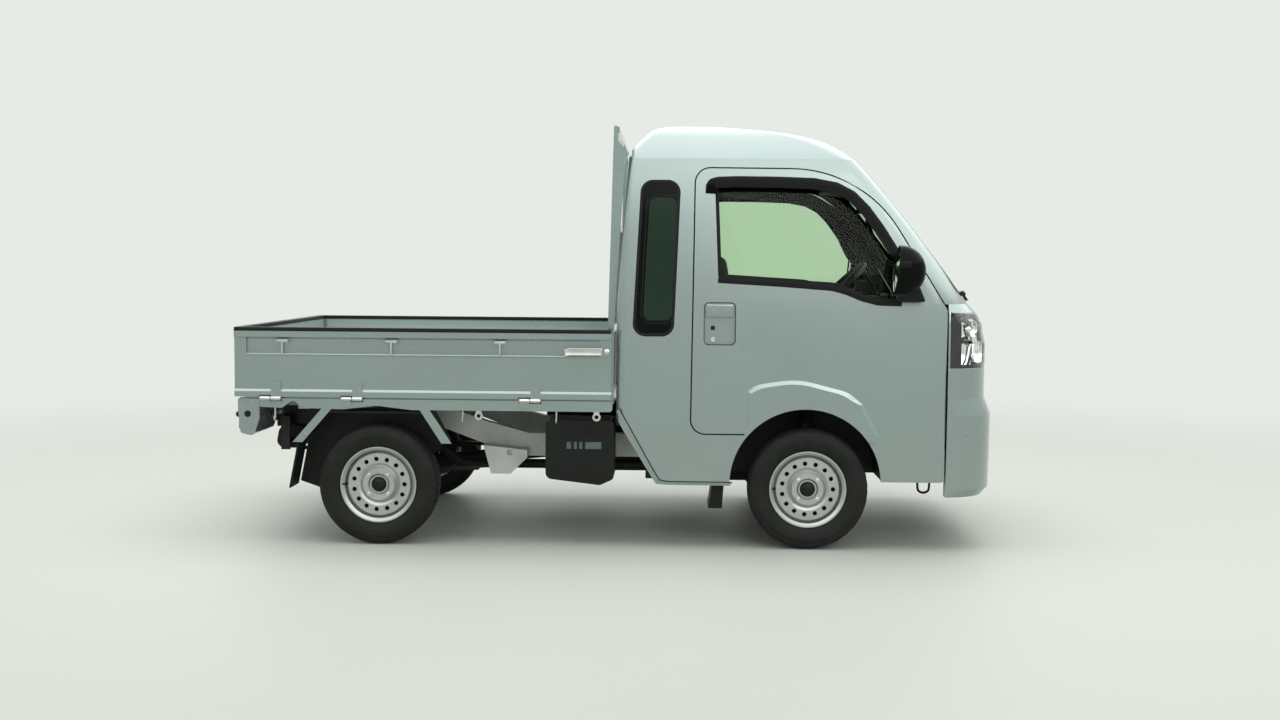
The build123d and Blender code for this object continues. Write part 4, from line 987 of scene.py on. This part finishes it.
# %% Finish the wipers
BLADE_Z, BLADE_RISE, BLADE_STEPS = 1.1235, 0.024, 16
for name, y0, y1 in (("right", -0.560, -0.040), ("left", -0.060, 0.420)):
    reach = []
    for step in range(BLADE_STEPS + 1):
        share = step / BLADE_STEPS
        reach.append(Vector((y0 + 0.03 + (y1 - y0 - 0.04) * share, BLADE_Z + BLADE_RISE * share)))
    lower = on_pane("windscreen", [point - Vector((0, 0.004)) for point in reach], 0.0012)
    upper = on_pane("windscreen", reach, 0.0090)
    blade = strip("wiper_blade_" + name, [lower, upper])
    work(blade, "SOLIDIFY", thickness=0.004, offset=0)
    fit(blade, soft_rubber)
    foot = on_pane("windscreen", [Vector((y0 + 0.018, 1.124))], 0.012)[0]
    cap = turned("wiper_cap_" + name, foot, (0.75, 0, 0.66),
                 [(0.0, 0.010), (0.007, 0.0095), (0.012, 0.006), (0.014, 0.0), (0.014, -0.006), (0.0, -0.006)], 20)
    fit(cap, black_plastic)
print("two wipers finished")

# %% [markdown]
# ## Hooks, stops and flanges
# Ropes are tied to small hooks under the bed's edge, and rubber stops catch a dropped gate. A painted
# flange closes the cab's lower rear edge, and a thin black strip above it is painted shade for a groove.
# The hooks are bent bars, so one smooth line gives each.

# %% Add hooks, stops and flanges
HOOK_BEND = [(0.7135, 0.606), (0.7145, 0.580), (0.7150, 0.560), (0.7220, 0.550), (0.7300, 0.556), (0.7315, 0.570)]
STOP_SECTION = [(0.0, 0.013), (0.006, 0.0122), (0.011, 0.009), (0.0125, 0.004), (0.0125, 0.002), (0.015, 0.0),
                (0.0, 0.0)]
SILL_EDGE = [(-0.006, 0.604), (0.020, 0.558), (0.150, 0.326), (0.172, 0.2905), (0.200, 0.2835), (0.350, 0.2825),
             (0.492, 0.2825)]
FLANGES = [
    ("sill_flange_", silver_paint, "body_paint", ((0.0, -0.004), (0.0, 0.0005), (0.012, 0.0045), (0.0135, -0.001))),
    # The groove's black strip is painted shade, standing for the dark of the groove.
    ("sill_groove_", soft_rubber, "black_plastic", ((0.0135, -0.001), (0.014, 0.0008), (0.0165, 0.0008))),
]
FLANGE_LEAN = 0.75
hooks = 0
for x in (-1.517, -0.685, -0.272):
    for side, name in SIDES:
        bend = [(x, side * y, z) for y, z in HOOK_BEND]
        hook = tube("rope_hook_%s_%d" % (name, hooks), bend, 0.0042)
        fit(hook, zinc)
        hooks += 1
for side, name in SIDES:
    stop = turned("gate_stop_" + name, (-1.637, side * 0.7255, 0.578), (0, side, 0), STOP_SECTION, 20)
    fit(stop, soft_rubber)
    stop = turned("rear_stop_" + name, (-1.6795, side * 0.712, 0.575), (-1, 0, 0), STOP_SECTION, 20)
    fit(stop, soft_rubber)
    edge = evenly([Vector(point) for point in SILL_EDGE], 0.02, closed=False)
    for kind, coat, slot, rises in FLANGES:
        rows = []
        for lift, proud in rises:
            line = [point + Vector((lift * FLANGE_LEAN, lift)) for point in edge]
            rows.append([Vector((p.x, side * (skin(p.y) + proud), p.y)) for p in line])
        flange = strip(kind + name, rows)
        work(flange, "SOLIDIFY", thickness=0.0012, offset=0)
        fit(flange, coat)
LOOP = [(1.373, 0.364), (1.373, 0.300), (1.373, 0.240), (1.376, 0.213), (1.4005, 0.203), (1.425, 0.213),
        (1.428, 0.240), (1.428, 0.300), (1.428, 0.364)]
fit(tube("tie_down_loop", [(x, -0.375, z) for x, z in LOOP], 0.0055), black_steel)
print(hooks, "rope hooks, four stops, two flanges and a tie-down loop")

# %% [markdown]
# ## Gate latches
# At the front end of each side gate a sprung lever holds the gate up. The solid is the plain body of
# the latch. On top lie a bright handle with a bent tip and a round knob.

# %% Fit the gate latches
LATCH_Y = 0.7465
LATCH_KNOB = [(0.0, 0.011), (0.006, 0.011), (0.009, 0.0085), (0.0095, 0.003), (0.013, 0.0), (0.013, -0.002),
              (0.0, -0.002)]
for side, name in SIDES:
    y = side * LATCH_Y
    handle = block("latch_handle_" + name, (-0.214, y, 0.8515), (-0.072, y + side * 0.008, 0.8815))
    press(handle, lambda m, n: n.x < -0.9, 0, (-0.020, side * 0.006, -0.004))
    press(handle, lambda m, n: n.y * side > 0.9, 0.004, (0, -side * 0.003, 0))
    ease(handle, 0.0015, 2)
    fit(handle, zinc, "gate_" + name)
    knob = turned("latch_knob_" + name, (-0.050, y, 0.866), (0, side, 0), LATCH_KNOB, 24)
    fit(knob, zinc, "gate_" + name)
print("two gate latches")

# %% [markdown]
# ## Dampers and strut boots
# Under the truck, each rear wheel has a damper from the axle to the frame, and a pleated rubber boot
# covers each front strut above the tyre. Both are round, so both are turned.

# %% Add dampers and boots
for side, name in SIDES:
    low_end, high_end = Vector((-1.118, side * 0.375, 0.252)), Vector((-1.010, side * 0.375, 0.505))
    run = (high_end - low_end).length
    damper = turned("rear_damper_" + name, low_end, high_end - low_end,
                    [(0.0, -0.016), (0.013, -0.016), (0.013, 0.014), (0.024, 0.020), (0.025, run * 0.55),
                     (0.028, run * 0.56), (0.028, run - 0.03), (0.013, run - 0.022), (0.013, run), (0.0, run)], 24)
    fit(damper, black_steel)
    pleats = [(0.0, 0.0), (0.026, 0.0)]
    for step in range(6):
        pleats += [(0.036, 0.004 + 0.011 * step), (0.029, 0.0095 + 0.011 * step)]
    boot = turned("strut_boot_" + name, (FRONT_X, side * 0.548, 0.545), (0, 0, 1), pleats + [(0.0, 0.0665)], 24)
    fit(boot, soft_rubber, "knuckle_" + name, 60)
print("dampers and boots on both sides")

# %% [markdown]
# ## Cabin linings
# Inside, the steel is covered: dark moulded panels on doors and pillars, a grey cloth board under the
# roof. A lining follows the sheet behind it, so the inner faces of each solid are copied and given a
# thickness towards the room. Drawing them anew would leave gaps at the windows.

# %% Line the cabin
LININGS = [
    ("door_lining_right", "door_right", lambda m, n: n.y > 0.35, cabin_plastic, "door_right"),
    ("door_lining_left", "door_left", lambda m, n: n.y < -0.35, cabin_plastic, "door_left"),
    ("side_lining_right", "cab_side_right", lambda m, n: n.y > 0.35 and m.z > 0.67, cabin_plastic, "truck"),
    ("side_lining_left", "cab_side_left", lambda m, n: n.y < -0.35 and m.z > 0.67, cabin_plastic, "truck"),
    ("back_lining", "cab_back", lambda m, n: n.x > 0.6 and m.z > 0.67, cabin_plastic, "truck"),
    ("head_lining", "cab_roof", lambda m, n: n.z < -0.15, cabin_pale, "truck"),
]
for name, node, keep, coat, body in LININGS:
    lining = faces_of(node, name, keep)
    work(lining, "SOLIDIFY", thickness=0.0022, offset=1)
    fit(lining, coat, body, 40)
print(len(LININGS), "linings")

# %% [markdown]
# ## Door furniture
# Each door has an arm rest with a pull, a speaker grille low down and a small release lever. The arm
# rest is a block narrowed below. A thin block on top of it, inset and sunk, makes the pull pocket.

# %% Furnish the doors
rest = block("arm_rest_right", (0.520, -0.681, 0.838), (0.930, -0.628, 0.905))
narrow(rest, lambda m, n: n.z < -0.9, (0.92, 0.55, 1), (0.74, -0.681, 0.838))
ease(rest, 0.011, 4, 30)
pocket = block("pull_pocket_right", (0.640, -0.668, 0.902), (0.780, -0.640, 0.9065))
press(pocket, lambda m, n: n.z > 0.9, 0.003, (0, 0, -0.0035))
grille = turned("speaker_right", (0.575, -0.683, 0.735), (0, 1, 0),
                [(0.0, 0.006)] + [(0.006 + 0.007 * step, 0.006 - 0.0022 * (step % 2)) for step in range(9)]
                + [(0.068, 0.008), (0.074, 0.006), (0.077, 0.0), (0.0, 0.0)], 36)
lever = block("release_lever_right", (0.930, -0.682, 0.972), (1.030, -0.672, 1.000))
press(lever, lambda m, n: n.y > 0.9, 0.005, (-0.012, 0.006, 0))
ease(lever, 0.002, 2)
for piece, coat in ((rest, cabin_plastic), (pocket, black_plastic), (grille, black_plastic), (lever, black_plastic)):
    pair(piece, coat)
print("arm rests, speakers and levers on two doors")

# %% [markdown]
# ## Dashboard
# On the plain dash solid sit a hood over the dials, a blank screen, round air outlets and a lid for
# small things. The hood's open end is an inset that is pushed in, so it has a real depth for the dial.

# %% Dress the dashboard
hood = block("dial_hood", (1.208, -0.470, 1.052), (1.335, -0.190, 1.128))
narrow(hood, lambda m, n: n.x > 0.9, (1, 0.86, 0.45), (1.335, -0.33, 1.070))
ease(hood, 0.016, 4, 30)
press(hood, lambda m, n: n.x < -0.95, 0.008, (0.030, 0, 0))
fit(hood, cabin_plastic)
for kind, y, radius in (("speed", -0.330, 0.027), ("fuel", -0.405, 0.019), ("heat", -0.255, 0.019)):
    dial = turned("dial_" + kind, (1.2375, y, 1.091), (-1, 0, 0),
                  [(0.0, 0.003), (radius * 0.16, 0.003), (radius * 0.18, 0.0012), (radius * 0.86, 0.0012),
                   (radius * 0.88, 0.004), (radius, 0.004), (radius, -0.002), (0.0, -0.002)], 32)
    fit(dial, cabin_pale)
panel = block("blank_screen", (1.170, -0.108, 0.915), (1.186, 0.108, 1.010))
press(panel, lambda m, n: n.x < -0.9, 0.009, (0.002, 0, 0))
ease(panel, 0.003, 3)
fit(panel, gloss_black)
lid = block("glove_lid", (1.177, 0.185, 0.912), (1.186, 0.500, 1.006))
press(lid, lambda m, n: n.x < -0.9, 0.012, (-0.004, 0, 0))
ease(lid, 0.003, 3)
fit(lid, cabin_plastic)
for count, y in enumerate((-0.585, -0.150, 0.150, 0.585)):
    outlet = turned("air_outlet_%d" % count, (1.186, y, 0.962), (-1, 0, 0),
                    [(0.0, 0.008), (0.008, 0.008), (0.009, 0.003), (0.022, 0.003), (0.024, 0.010), (0.030, 0.011),
                     (0.034, 0.008), (0.034, 0.0), (0.0, 0.0)], 28)
    fit(outlet, black_plastic)
print("hood, dials, screen, lid and four outlets")

# %% [markdown]
# ## Levers, pedals and belts
# Two stalks stand on the steering column, the gear lever rises from a pleated boot, and three pedals
# hang from the fire wall. Bars are smooth lines with a round section, and the pads are blocks with
# every second strip pulled out. A belt hangs down each rear post through a loop.

# %% Add levers, pedals and belts
COLUMN_Y, PAD_LOW, PAD_STRIP, BELT_DEPTH = -0.330, 0.575, 0.0082, 0.0575
for kind, reach in (("wash", -0.150), ("turn", 0.150)):
    stalk = tube("stalk_" + kind, [(1.040, COLUMN_Y + reach * 0.2, 1.080), (1.036, COLUMN_Y + reach * 0.7, 1.084),
                                   (1.022, COLUMN_Y + reach, 1.096)], 0.008)
    fit(stalk, black_plastic)
boot_line = [(0.0, 0.0), (0.062, 0.0)]
for step in range(5):
    boot_line += [(0.060 - 0.009 * step, 0.008 + 0.016 * step), (0.050 - 0.009 * step, 0.016 + 0.016 * step)]
fit(turned("gear_boot", (0.985, -0.020, 0.660), (0.12, 0, 1), boot_line + [(0.0, 0.085)], 28), soft_rubber,
    angle=60)
fit(tube("gear_lever", [(0.990, -0.020, 0.735), (0.998, -0.020, 0.790), (1.010, -0.020, 0.850)], 0.007), black_steel)
fit(turned("gear_knob", (1.010, -0.020, 0.840), (0.18, 0, 1),
           [(0.0, 0.0), (0.012, 0.0), (0.017, 0.012), (0.022, 0.028), (0.021, 0.040), (0.012, 0.049),
            (0.0, 0.051)], 28),
    black_plastic, angle=60)
fit(tube("hand_brake", [(0.640, 0.040, 0.664), (0.670, 0.040, 0.705), (0.760, 0.040, 0.728), (0.900, 0.040, 0.752)],
         0.0125), black_plastic)
for kind, y in (("clutch", -0.420), ("brake", -0.335), ("throttle", -0.250)):
    pad = block("pedal_pad_" + kind, (1.318, y - 0.028, PAD_LOW), (1.330, y + 0.028, 0.632))
    pick(pad, lambda m, n: n.x < -0.9)
    bpy.ops.mesh.subdivide(number_cuts=6)
    put_down()
    press(pad, lambda m, n: n.x < -0.9 and int((m.z - PAD_LOW) / PAD_STRIP) % 2 == 0, 0, (-0.003, 0, 0))
    fit(pad, soft_rubber)
    arm_line = [(1.330, y, 0.605), (1.352, y, 0.640), (1.372, y, 0.720), (1.392, y, 0.860)]
    arm = tube("pedal_arm_" + kind, arm_line, 0.006)
    fit(arm, black_steel)
for side, name in SIDES:
    heights = [0.700 + 0.02 * step for step in range(37)]
    web = strip("seat_belt_" + name, [[Vector((x, side * (skin(z) - BELT_DEPTH), z)) for z in heights]
                                      for x in (0.2690, 0.2850, 0.3010, 0.3160)])
    work(web, "SOLIDIFY", thickness=0.0016, offset=0)
    fit(web, belt_webbing)
    loop = block("belt_loop_" + name, (0.2640, side * 0.630, 1.405), (0.3210, side * 0.616, 1.440))
    ease(loop, 0.005, 3)
    fit(loop, black_plastic)
print("levers, pedals and belts")

# %% [markdown]
# ## Mirror, grips and sun visors
# Over the windscreen hang the inside mirror on its stem and two folded sun visors. A curved grip on
# each screen pillar helps people climb in.

# %% Hang the mirror, grips and visors
inner = block("inside_mirror", (1.130, -0.115, 1.498), (1.154, 0.115, 1.556))
narrow(inner, lambda m, n: n.x > 0.9, (1, 0.82, 0.62), (1.154, 0, 1.527))
ease(inner, 0.007, 4, 25)
inner_pane = lift_pane(inner, "inside_mirror_pane", lambda m, n: n.x < -0.97, 0.003, 0.002, 0.0008, 0.0006)
fit(inner_pane, mirror_glass)
fit(inner, black_plastic)
_, stem_end, _, _ = cad["windscreen"].ray_cast(Vector((1.0, 0, 1.575)), Vector((1, 0, 0)))
fit(tube("inside_mirror_stem", [(1.150, 0, 1.532), (1.180, 0, 1.548), stem_end], 0.007), black_plastic)
shade = block("sun_visor_right", (0.985, -0.520, 1.618), (1.140, -0.130, 1.636))
pull(shade, lambda m, n: n.x > 0.9, (0, 0, -0.016))
ease(shade, 0.0075, 4, 30)
grip = tube("pillar_grip_right", [(1.088, -0.612, 1.452), (1.098, -0.598, 1.420), (1.118, -0.594, 1.370),
                                  (1.150, -0.598, 1.305), (1.185, -0.606, 1.262), (1.222, -0.612, 1.252),
                                  (1.252, -0.630, 1.262)], 0.0105)
for piece, coat in ((shade, cabin_pale), (grip, cabin_plastic)):
    pair(piece, coat, ("truck", "truck"))
print("mirror, grips and visors")

# %% [markdown]
# ## Seats
# Each seat is three sewn covers filled with foam: cushion, back and head rest. Foam pushes a cover out
# until the seams hold it, so the covers are blown up a little by a cloth simulation from a smaller
# shape. The seat's side line is drawn, given its width, and remeshed so that the cloth has even cells.
# Sewn channels are pressed in afterwards, because the remesh would wipe them away.

# %% Sew the seats
seat_cloth = finish(
    "seat_cloth", (0.020, 0.021, 0.022), (0.036, 0.037, 0.039), 40.0, (0.72, 0.88), 0.6, 1100.0, Sheen_Weight=0.15)
CLOTH_CELL, FOAM_PRESSURE, FOAM_FRAMES = 0.0095, 4.0, 20
CHANNEL_DEPTH, CHANNEL_WIDTH = 0.007, 0.008
SEAT_COVERS = [
    ("cushion", [(0.425, 0.684), (0.862, 0.684), (0.868, 0.782), (0.838, 0.802), (0.486, 0.764), (0.425, 0.740)],
     0.130, 0.535, 0.018, "z", (0.560, 0.660, 0.760)),
    ("back", [(0.462, 0.800), (0.532, 0.810), (0.452, 1.306), (0.352, 1.306)], 0.135, 0.530, 0.018, "x",
     (0.930, 1.060, 1.190)),
    ("head_rest", [(0.386, 1.352), (0.436, 1.352), (0.418, 1.470), (0.366, 1.470)], 0.240, 0.425, 0.013, "x", ()),
]


def padded_cover(name, line, y0, y1, most, faces, channels):
    """A cover between two widths, blown up by cloth pressure and then sewn across."""
    bpy.ops.object.select_all(action="DESELECT")
    bpy.ops.mesh.primitive_circle_add(vertices=len(line), radius=1, fill_type="NGON")
    cover = settle(name)
    for point, (x, z) in zip(cover.data.vertices, line):
        point.co = (x, -y0, z)
    open_all(cover)
    bpy.ops.mesh.extrude_region_move(TRANSFORM_OT_translate={"value": (0, y0 - y1, 0)})
    bpy.ops.mesh.select_all(action="SELECT")
    bpy.ops.mesh.normals_make_consistent(inside=False)
    put_down()
    ease(cover, 0.016, 3, 20)
    work(cover, "REMESH", mode="VOXEL", voxel_size=CLOTH_CELL)
    start = [point.co.copy() for point in cover.data.vertices]
    only(cover)
    cloth = cover.modifiers.new("foam", "CLOTH")
    cloth.settings.use_pressure = True
    cloth.settings.uniform_pressure_force = FOAM_PRESSURE
    cloth.settings.effector_weights.gravity = 0.0
    cloth.settings.quality = 4
    cloth.collision_settings.use_collision = False
    for moment in range(1, FOAM_FRAMES + 1):
        bpy.context.scene.frame_set(moment)
    bpy.ops.object.modifier_apply(modifier="foam")
    bpy.context.scene.frame_set(1)
    moves = [point.co - old for point, old in zip(cover.data.vertices, start)]
    for point, old, move in zip(cover.data.vertices, start, moves):
        place = old + move * min(1.0, most / max(move.length, 1e-9))
        for channel in channels:
            along = place.x if faces == "z" else place.z
            dent = CHANNEL_DEPTH * math.exp(-((along - channel) / CHANNEL_WIDTH) ** 2)
            place += Vector((0, 0, -dent)) if faces == "z" else Vector((-dent, 0, 0))
        point.co = place
    work(cover, "SUBSURF", levels=1, render_levels=1)
    return cover


for kind, line, y0, y1, most, faces, channels in SEAT_COVERS:
    cover = padded_cover("seat_%s_right" % kind, line, y0, y1, most, faces, channels)
    other = copy_of(cover, "seat_%s_left" % kind, mirror=True)
    for piece in (cover, other):
        fit(piece, seat_cloth, angle=60)
        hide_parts("seats")
    print(kind, len(cover.data.polygons), "faces, from", [round(v, 3) for v in cover.bound_box[0]], "to",
          [round(v, 3) for v in cover.bound_box[6]])

# %% [markdown]
# ## Piping and posts
# A welt of piping hides the seam round each cushion and back, and two steel posts carry the head rest.
# The piping is a round bar laid along the cover's edge.

# %% Add piping and posts
WELTS = [
    ("cushion", [(0.500, 0.7745), (0.620, 0.7930), (0.740, 0.8080), (0.838, 0.8160), (0.876, 0.794), (0.880, 0.740)],
     (0.128, 0.537)),
    ("back", [(0.505, 0.900), (0.490, 1.020), (0.472, 1.140), (0.455, 1.240), (0.440, 1.310), (0.400, 1.322),
              (0.360, 1.312)], (0.133, 0.532)),
]
for side, name in SIDES:
    for kind, line, edges in WELTS:
        for count, y in enumerate(edges):
            welt = tube("seat_welt_%s_%s_%d" % (kind, name, count), [(x, side * y, z) for x, z in line], 0.0035)
            fit(welt, belt_webbing)
    for count, y in enumerate((0.300, 0.365)):
        post = tube("head_post_%s_%d" % (name, count), [(0.408, side * y, 1.285), (0.4075, side * y, 1.320),
                                                      (0.407, side * y, 1.375)], 0.0055)
        fit(post, zinc)
print("piping and posts on two seats")

# %% [markdown]
# ## Black rear of the frame
# The frame is sprayed silver with the cab, and behind the rear wheels its colour is made near black.
# A mask along the truck's length mixes the two colours, so the solid itself stays as it is.

# %% Blacken the frame's rear
BLACK_TO_X, SILVER_FROM_X = -1.34, -1.27
net = chassis_paint.node_tree
split = net.nodes.new("ShaderNodeSeparateXYZ")
edge = net.nodes.new("ShaderNodeMapRange")
edge.inputs["From Min"].default_value, edge.inputs["From Max"].default_value = BLACK_TO_X, SILVER_FROM_X
rear_black_mix = net.nodes.new("ShaderNodeMix")
rear_black_mix.data_type = "RGBA"
rear_black_mix.inputs["A"].default_value = (0.010, 0.010, 0.010, 1)
net.links.new(net.nodes["Texture Coordinate"].outputs["Object"], split.inputs[0])
net.links.new(split.outputs["X"], edge.inputs["Value"])
net.links.new(edge.outputs["Result"], rear_black_mix.inputs["Factor"])
net.links.new(net.nodes["Color Ramp"].outputs["Color"], rear_black_mix.inputs["B"])
net.links.new(rear_black_mix.outputs["Result"], net.nodes["Principled BSDF"].inputs["Base Color"])
print("frame black behind", BLACK_TO_X)

# %% [markdown]
# ## Gate clips and hinge sleeves
# Rope clips shaped like a T hang on each side gate, and every hinge has a bright zinc sleeve. The solid
# has them in body colour, so thin bright covers are laid over them. One half of each hinge moves with
# its gate and the other stays on the bed.

# %% Cover clips and hinges
HINGE_Z, HALF_HINGE = 0.648, 0.024
CLIP_DROP = [(0.7325, 0.900), (0.7335, 0.880), (0.7330, 0.860), (0.7320, 0.846)]
SLEEVE = [(0.0, -0.0222), (0.0088, -0.0222), (0.0100, -0.0205), (0.0100, 0.0205), (0.0088, 0.0222), (0.0, 0.0222)]
for side, name in SIDES:
    for count, x in enumerate((-1.4795, -0.9985, -0.5195)):
        y = side * 0.7330
        bar = block("clip_bar_%s_%d" % (name, count), (x - 0.024, y, 0.8935), (x + 0.024, y - side * 0.004, 0.9085))
        narrow(bar, lambda m, n: abs(n.x) > 0.9, (1, 1, 0.55), (x, y, 0.904))
        ease(bar, 0.0014, 2)
        fit(bar, zinc, "gate_" + name)
        drop = [(x, side * out, z) for out, z in CLIP_DROP]
        fit(tube("clip_drop_%s_%d" % (name, count), drop, 0.0042), zinc, "gate_" + name)
    for count, x in enumerate((-1.5315, -1.1715, -0.3865)):
        for kind, shift, body in (("gate", HALF_HINGE, "gate_" + name), ("rail", -HALF_HINGE, "truck")):
            sleeve = turned("hinge_%s_%s_%d" % (kind, name, count), (x + shift, side * 0.7375, HINGE_Z), (1, 0, 0),
                            SLEEVE, 20)
            fit(sleeve, zinc, body)
for count, y in enumerate((0.4985, 0.0, -0.4985)):
    for kind, shift, body in (("gate", -HALF_HINGE, "gate_rear"), ("sill", HALF_HINGE, "truck")):
        sleeve = turned("hinge_%s_rear_%d" % (kind, count), (-1.6885, y + shift, HINGE_Z), (0, 1, 0), SLEEVE, 20)
        fit(sleeve, zinc, body)
print("six clips and nine hinges covered")

# %% [markdown]
# ## Door seals, drums and small dark holes
# A rubber seal runs round each door opening and closes the gap to the door. Behind the wheel's round
# holes sits a dark brake drum. A black disc in the spring hanger's hole is painted shade for the dark
# seen through it, and cells show in the battery box.

# %% Close gaps and holes
SEAL_DEPTH = 0.059
DOOR_EDGE = [(0.320, 0.600), (0.320, 0.800), (0.3205, 1.009), (0.322, 1.200), (0.324, 1.400), (0.331, 1.551),
             (0.338, 1.622), (0.364, 1.656), (0.402, 1.671), (0.566, 1.671), (0.748, 1.666), (0.870, 1.658),
             (0.961, 1.637), (1.023, 1.611), (1.084, 1.565), (1.146, 1.499), (1.220, 1.407), (1.308, 1.270),
             (1.364, 1.185), (1.415, 1.100), (1.437, 1.057)]
for side, name in SIDES:
    run = [(x, side * (skin(z) - SEAL_DEPTH), z) for x, z in DOOR_EDGE]
    fit(tube("door_seal_" + name, run, 0.0085), soft_rubber)
    # A black disc in the hanger's hole is painted shade.
    hole_shade = turned("hanger_hole_shade_" + name, (-0.5035, side * 0.4022, 0.388), (0, side, 0),
                  [(0.0, 0.0030), (0.0100, 0.0030), (0.0125, 0.0022), (0.0125, 0.0), (0.0, 0.0)], 24)
    fit(hole_shade, black_steel)
for name, x, side in WHEELS:
    drum = turned("brake_drum_" + name, (x, side * 0.600, HUB_Z), (0, side, 0),
                  [(0.1085, 0.0), (0.1320, 0.0), (0.1340, 0.012), (0.1405, 0.014), (0.1405, 0.020), (0.1340, 0.022),
                   (0.1330, 0.044), (0.1270, 0.050), (0.1085, 0.050)], 40)
    fit(drum, black_steel, "wheel_" + name)
for count, (x, wide) in enumerate(((-0.230, 0.022), (-0.198, 0.016), (-0.174, 0.016), (-0.148, 0.074))):
    cell = block("battery_cell_%d" % count, (x + 0.001, -0.6865, 0.432), (x + wide - 0.001, -0.6822, 0.464))
    press(cell, lambda m, n: n.y < -0.9, 0.003, (0, 0.002, 0))
    fit(cell, cell_grey)
print("seals, drums and cells")

# %% [markdown]
# ## Inner panels of the bed, gate beads and wheel arches
# The inside of each gate is a second pressed panel with a raised field, in a flatter paint than outside.
# That paint is lighter than the body colour: painted light on inner faces that lie in the bed's shade.
# A rolled bead along the outer panel catches the light. Black walls close the rear wheel arches inwards.
# The panels are blocks with an inset field, and the walls are strips between the arch and a half circle.

# %% Line the bed and the wheel arches
def gate_panel(name, low, high, towards, body):
    """A thin pressed panel on a gate's inner face, with a raised field."""
    panel = block(name, low, high)
    pick(panel, lambda m, n: n.dot(Vector(towards)) > 0.9)
    bpy.ops.mesh.inset(thickness=0.022, use_even_offset=True)
    bpy.ops.mesh.inset(thickness=0.006, use_even_offset=True)
    bpy.ops.transform.translate(value=Vector(towards) * 0.0012)
    put_down()
    return fit(panel, lit_bed_paint, body)


ARCH = [(-0.7660, 0.456), (-0.8000, 0.515), (-0.8400, 0.583), (-0.9500, 0.5845), (-1.0635, 0.5845), (-1.1770, 0.5845),
        (-1.2870, 0.583), (-1.3450, 0.520), (-1.4070, 0.455), (-1.4270, 0.350), (-1.4450, 0.260)]
ARCH_Y, ARCH_RADIUS, ARCH_START, ARCH_SWEEP = 0.569, 0.205, 25, 175
for side, name in SIDES:
    inner = side * 0.7055
    gate_panel("gate_panel_" + name, (-1.6400, inner, 0.690), (-0.0600, inner - side * 0.0016, 0.9400),
               (0, -side, 0), "gate_" + name)
    bead = [(x, side * 0.7275, 0.8425) for x in (-1.636, -1.2, -0.8, -0.4, -0.084)]
    fit(tube("gate_bead_" + name, bead, 0.0058), silver_paint, "gate_" + name)
    rows = [[], []]
    for count, (x, z) in enumerate(ARCH):
        turn = math.radians(ARCH_START + ARCH_SWEEP * count / (len(ARCH) - 1))
        rows[0].append((x, side * ARCH_Y, z))
        rows[1].append((REAR_X + ARCH_RADIUS * math.cos(turn), side * ARCH_Y, HUB_Z + ARCH_RADIUS * math.sin(turn)))
    wall = strip("arch_wall_" + name, rows)
    work(wall, "SOLIDIFY", thickness=0.003, offset=0)
    fit(wall, black_plastic)
gate_panel("gate_panel_rear", (-1.6565, -0.6900, 0.690), (-1.6549, 0.6900, 0.9400), (1, 0, 0), "gate_rear")
print("three inner panels, two beads and two arch walls")

# %% [markdown]
# ## Measuring
# The size of everything shown, the floor left out, is printed. The dressed truck may stand only a little
# past its solids.

# %% Measure and finish
low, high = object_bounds()
print("dressed size", [round(v, 3) for v in high - low])
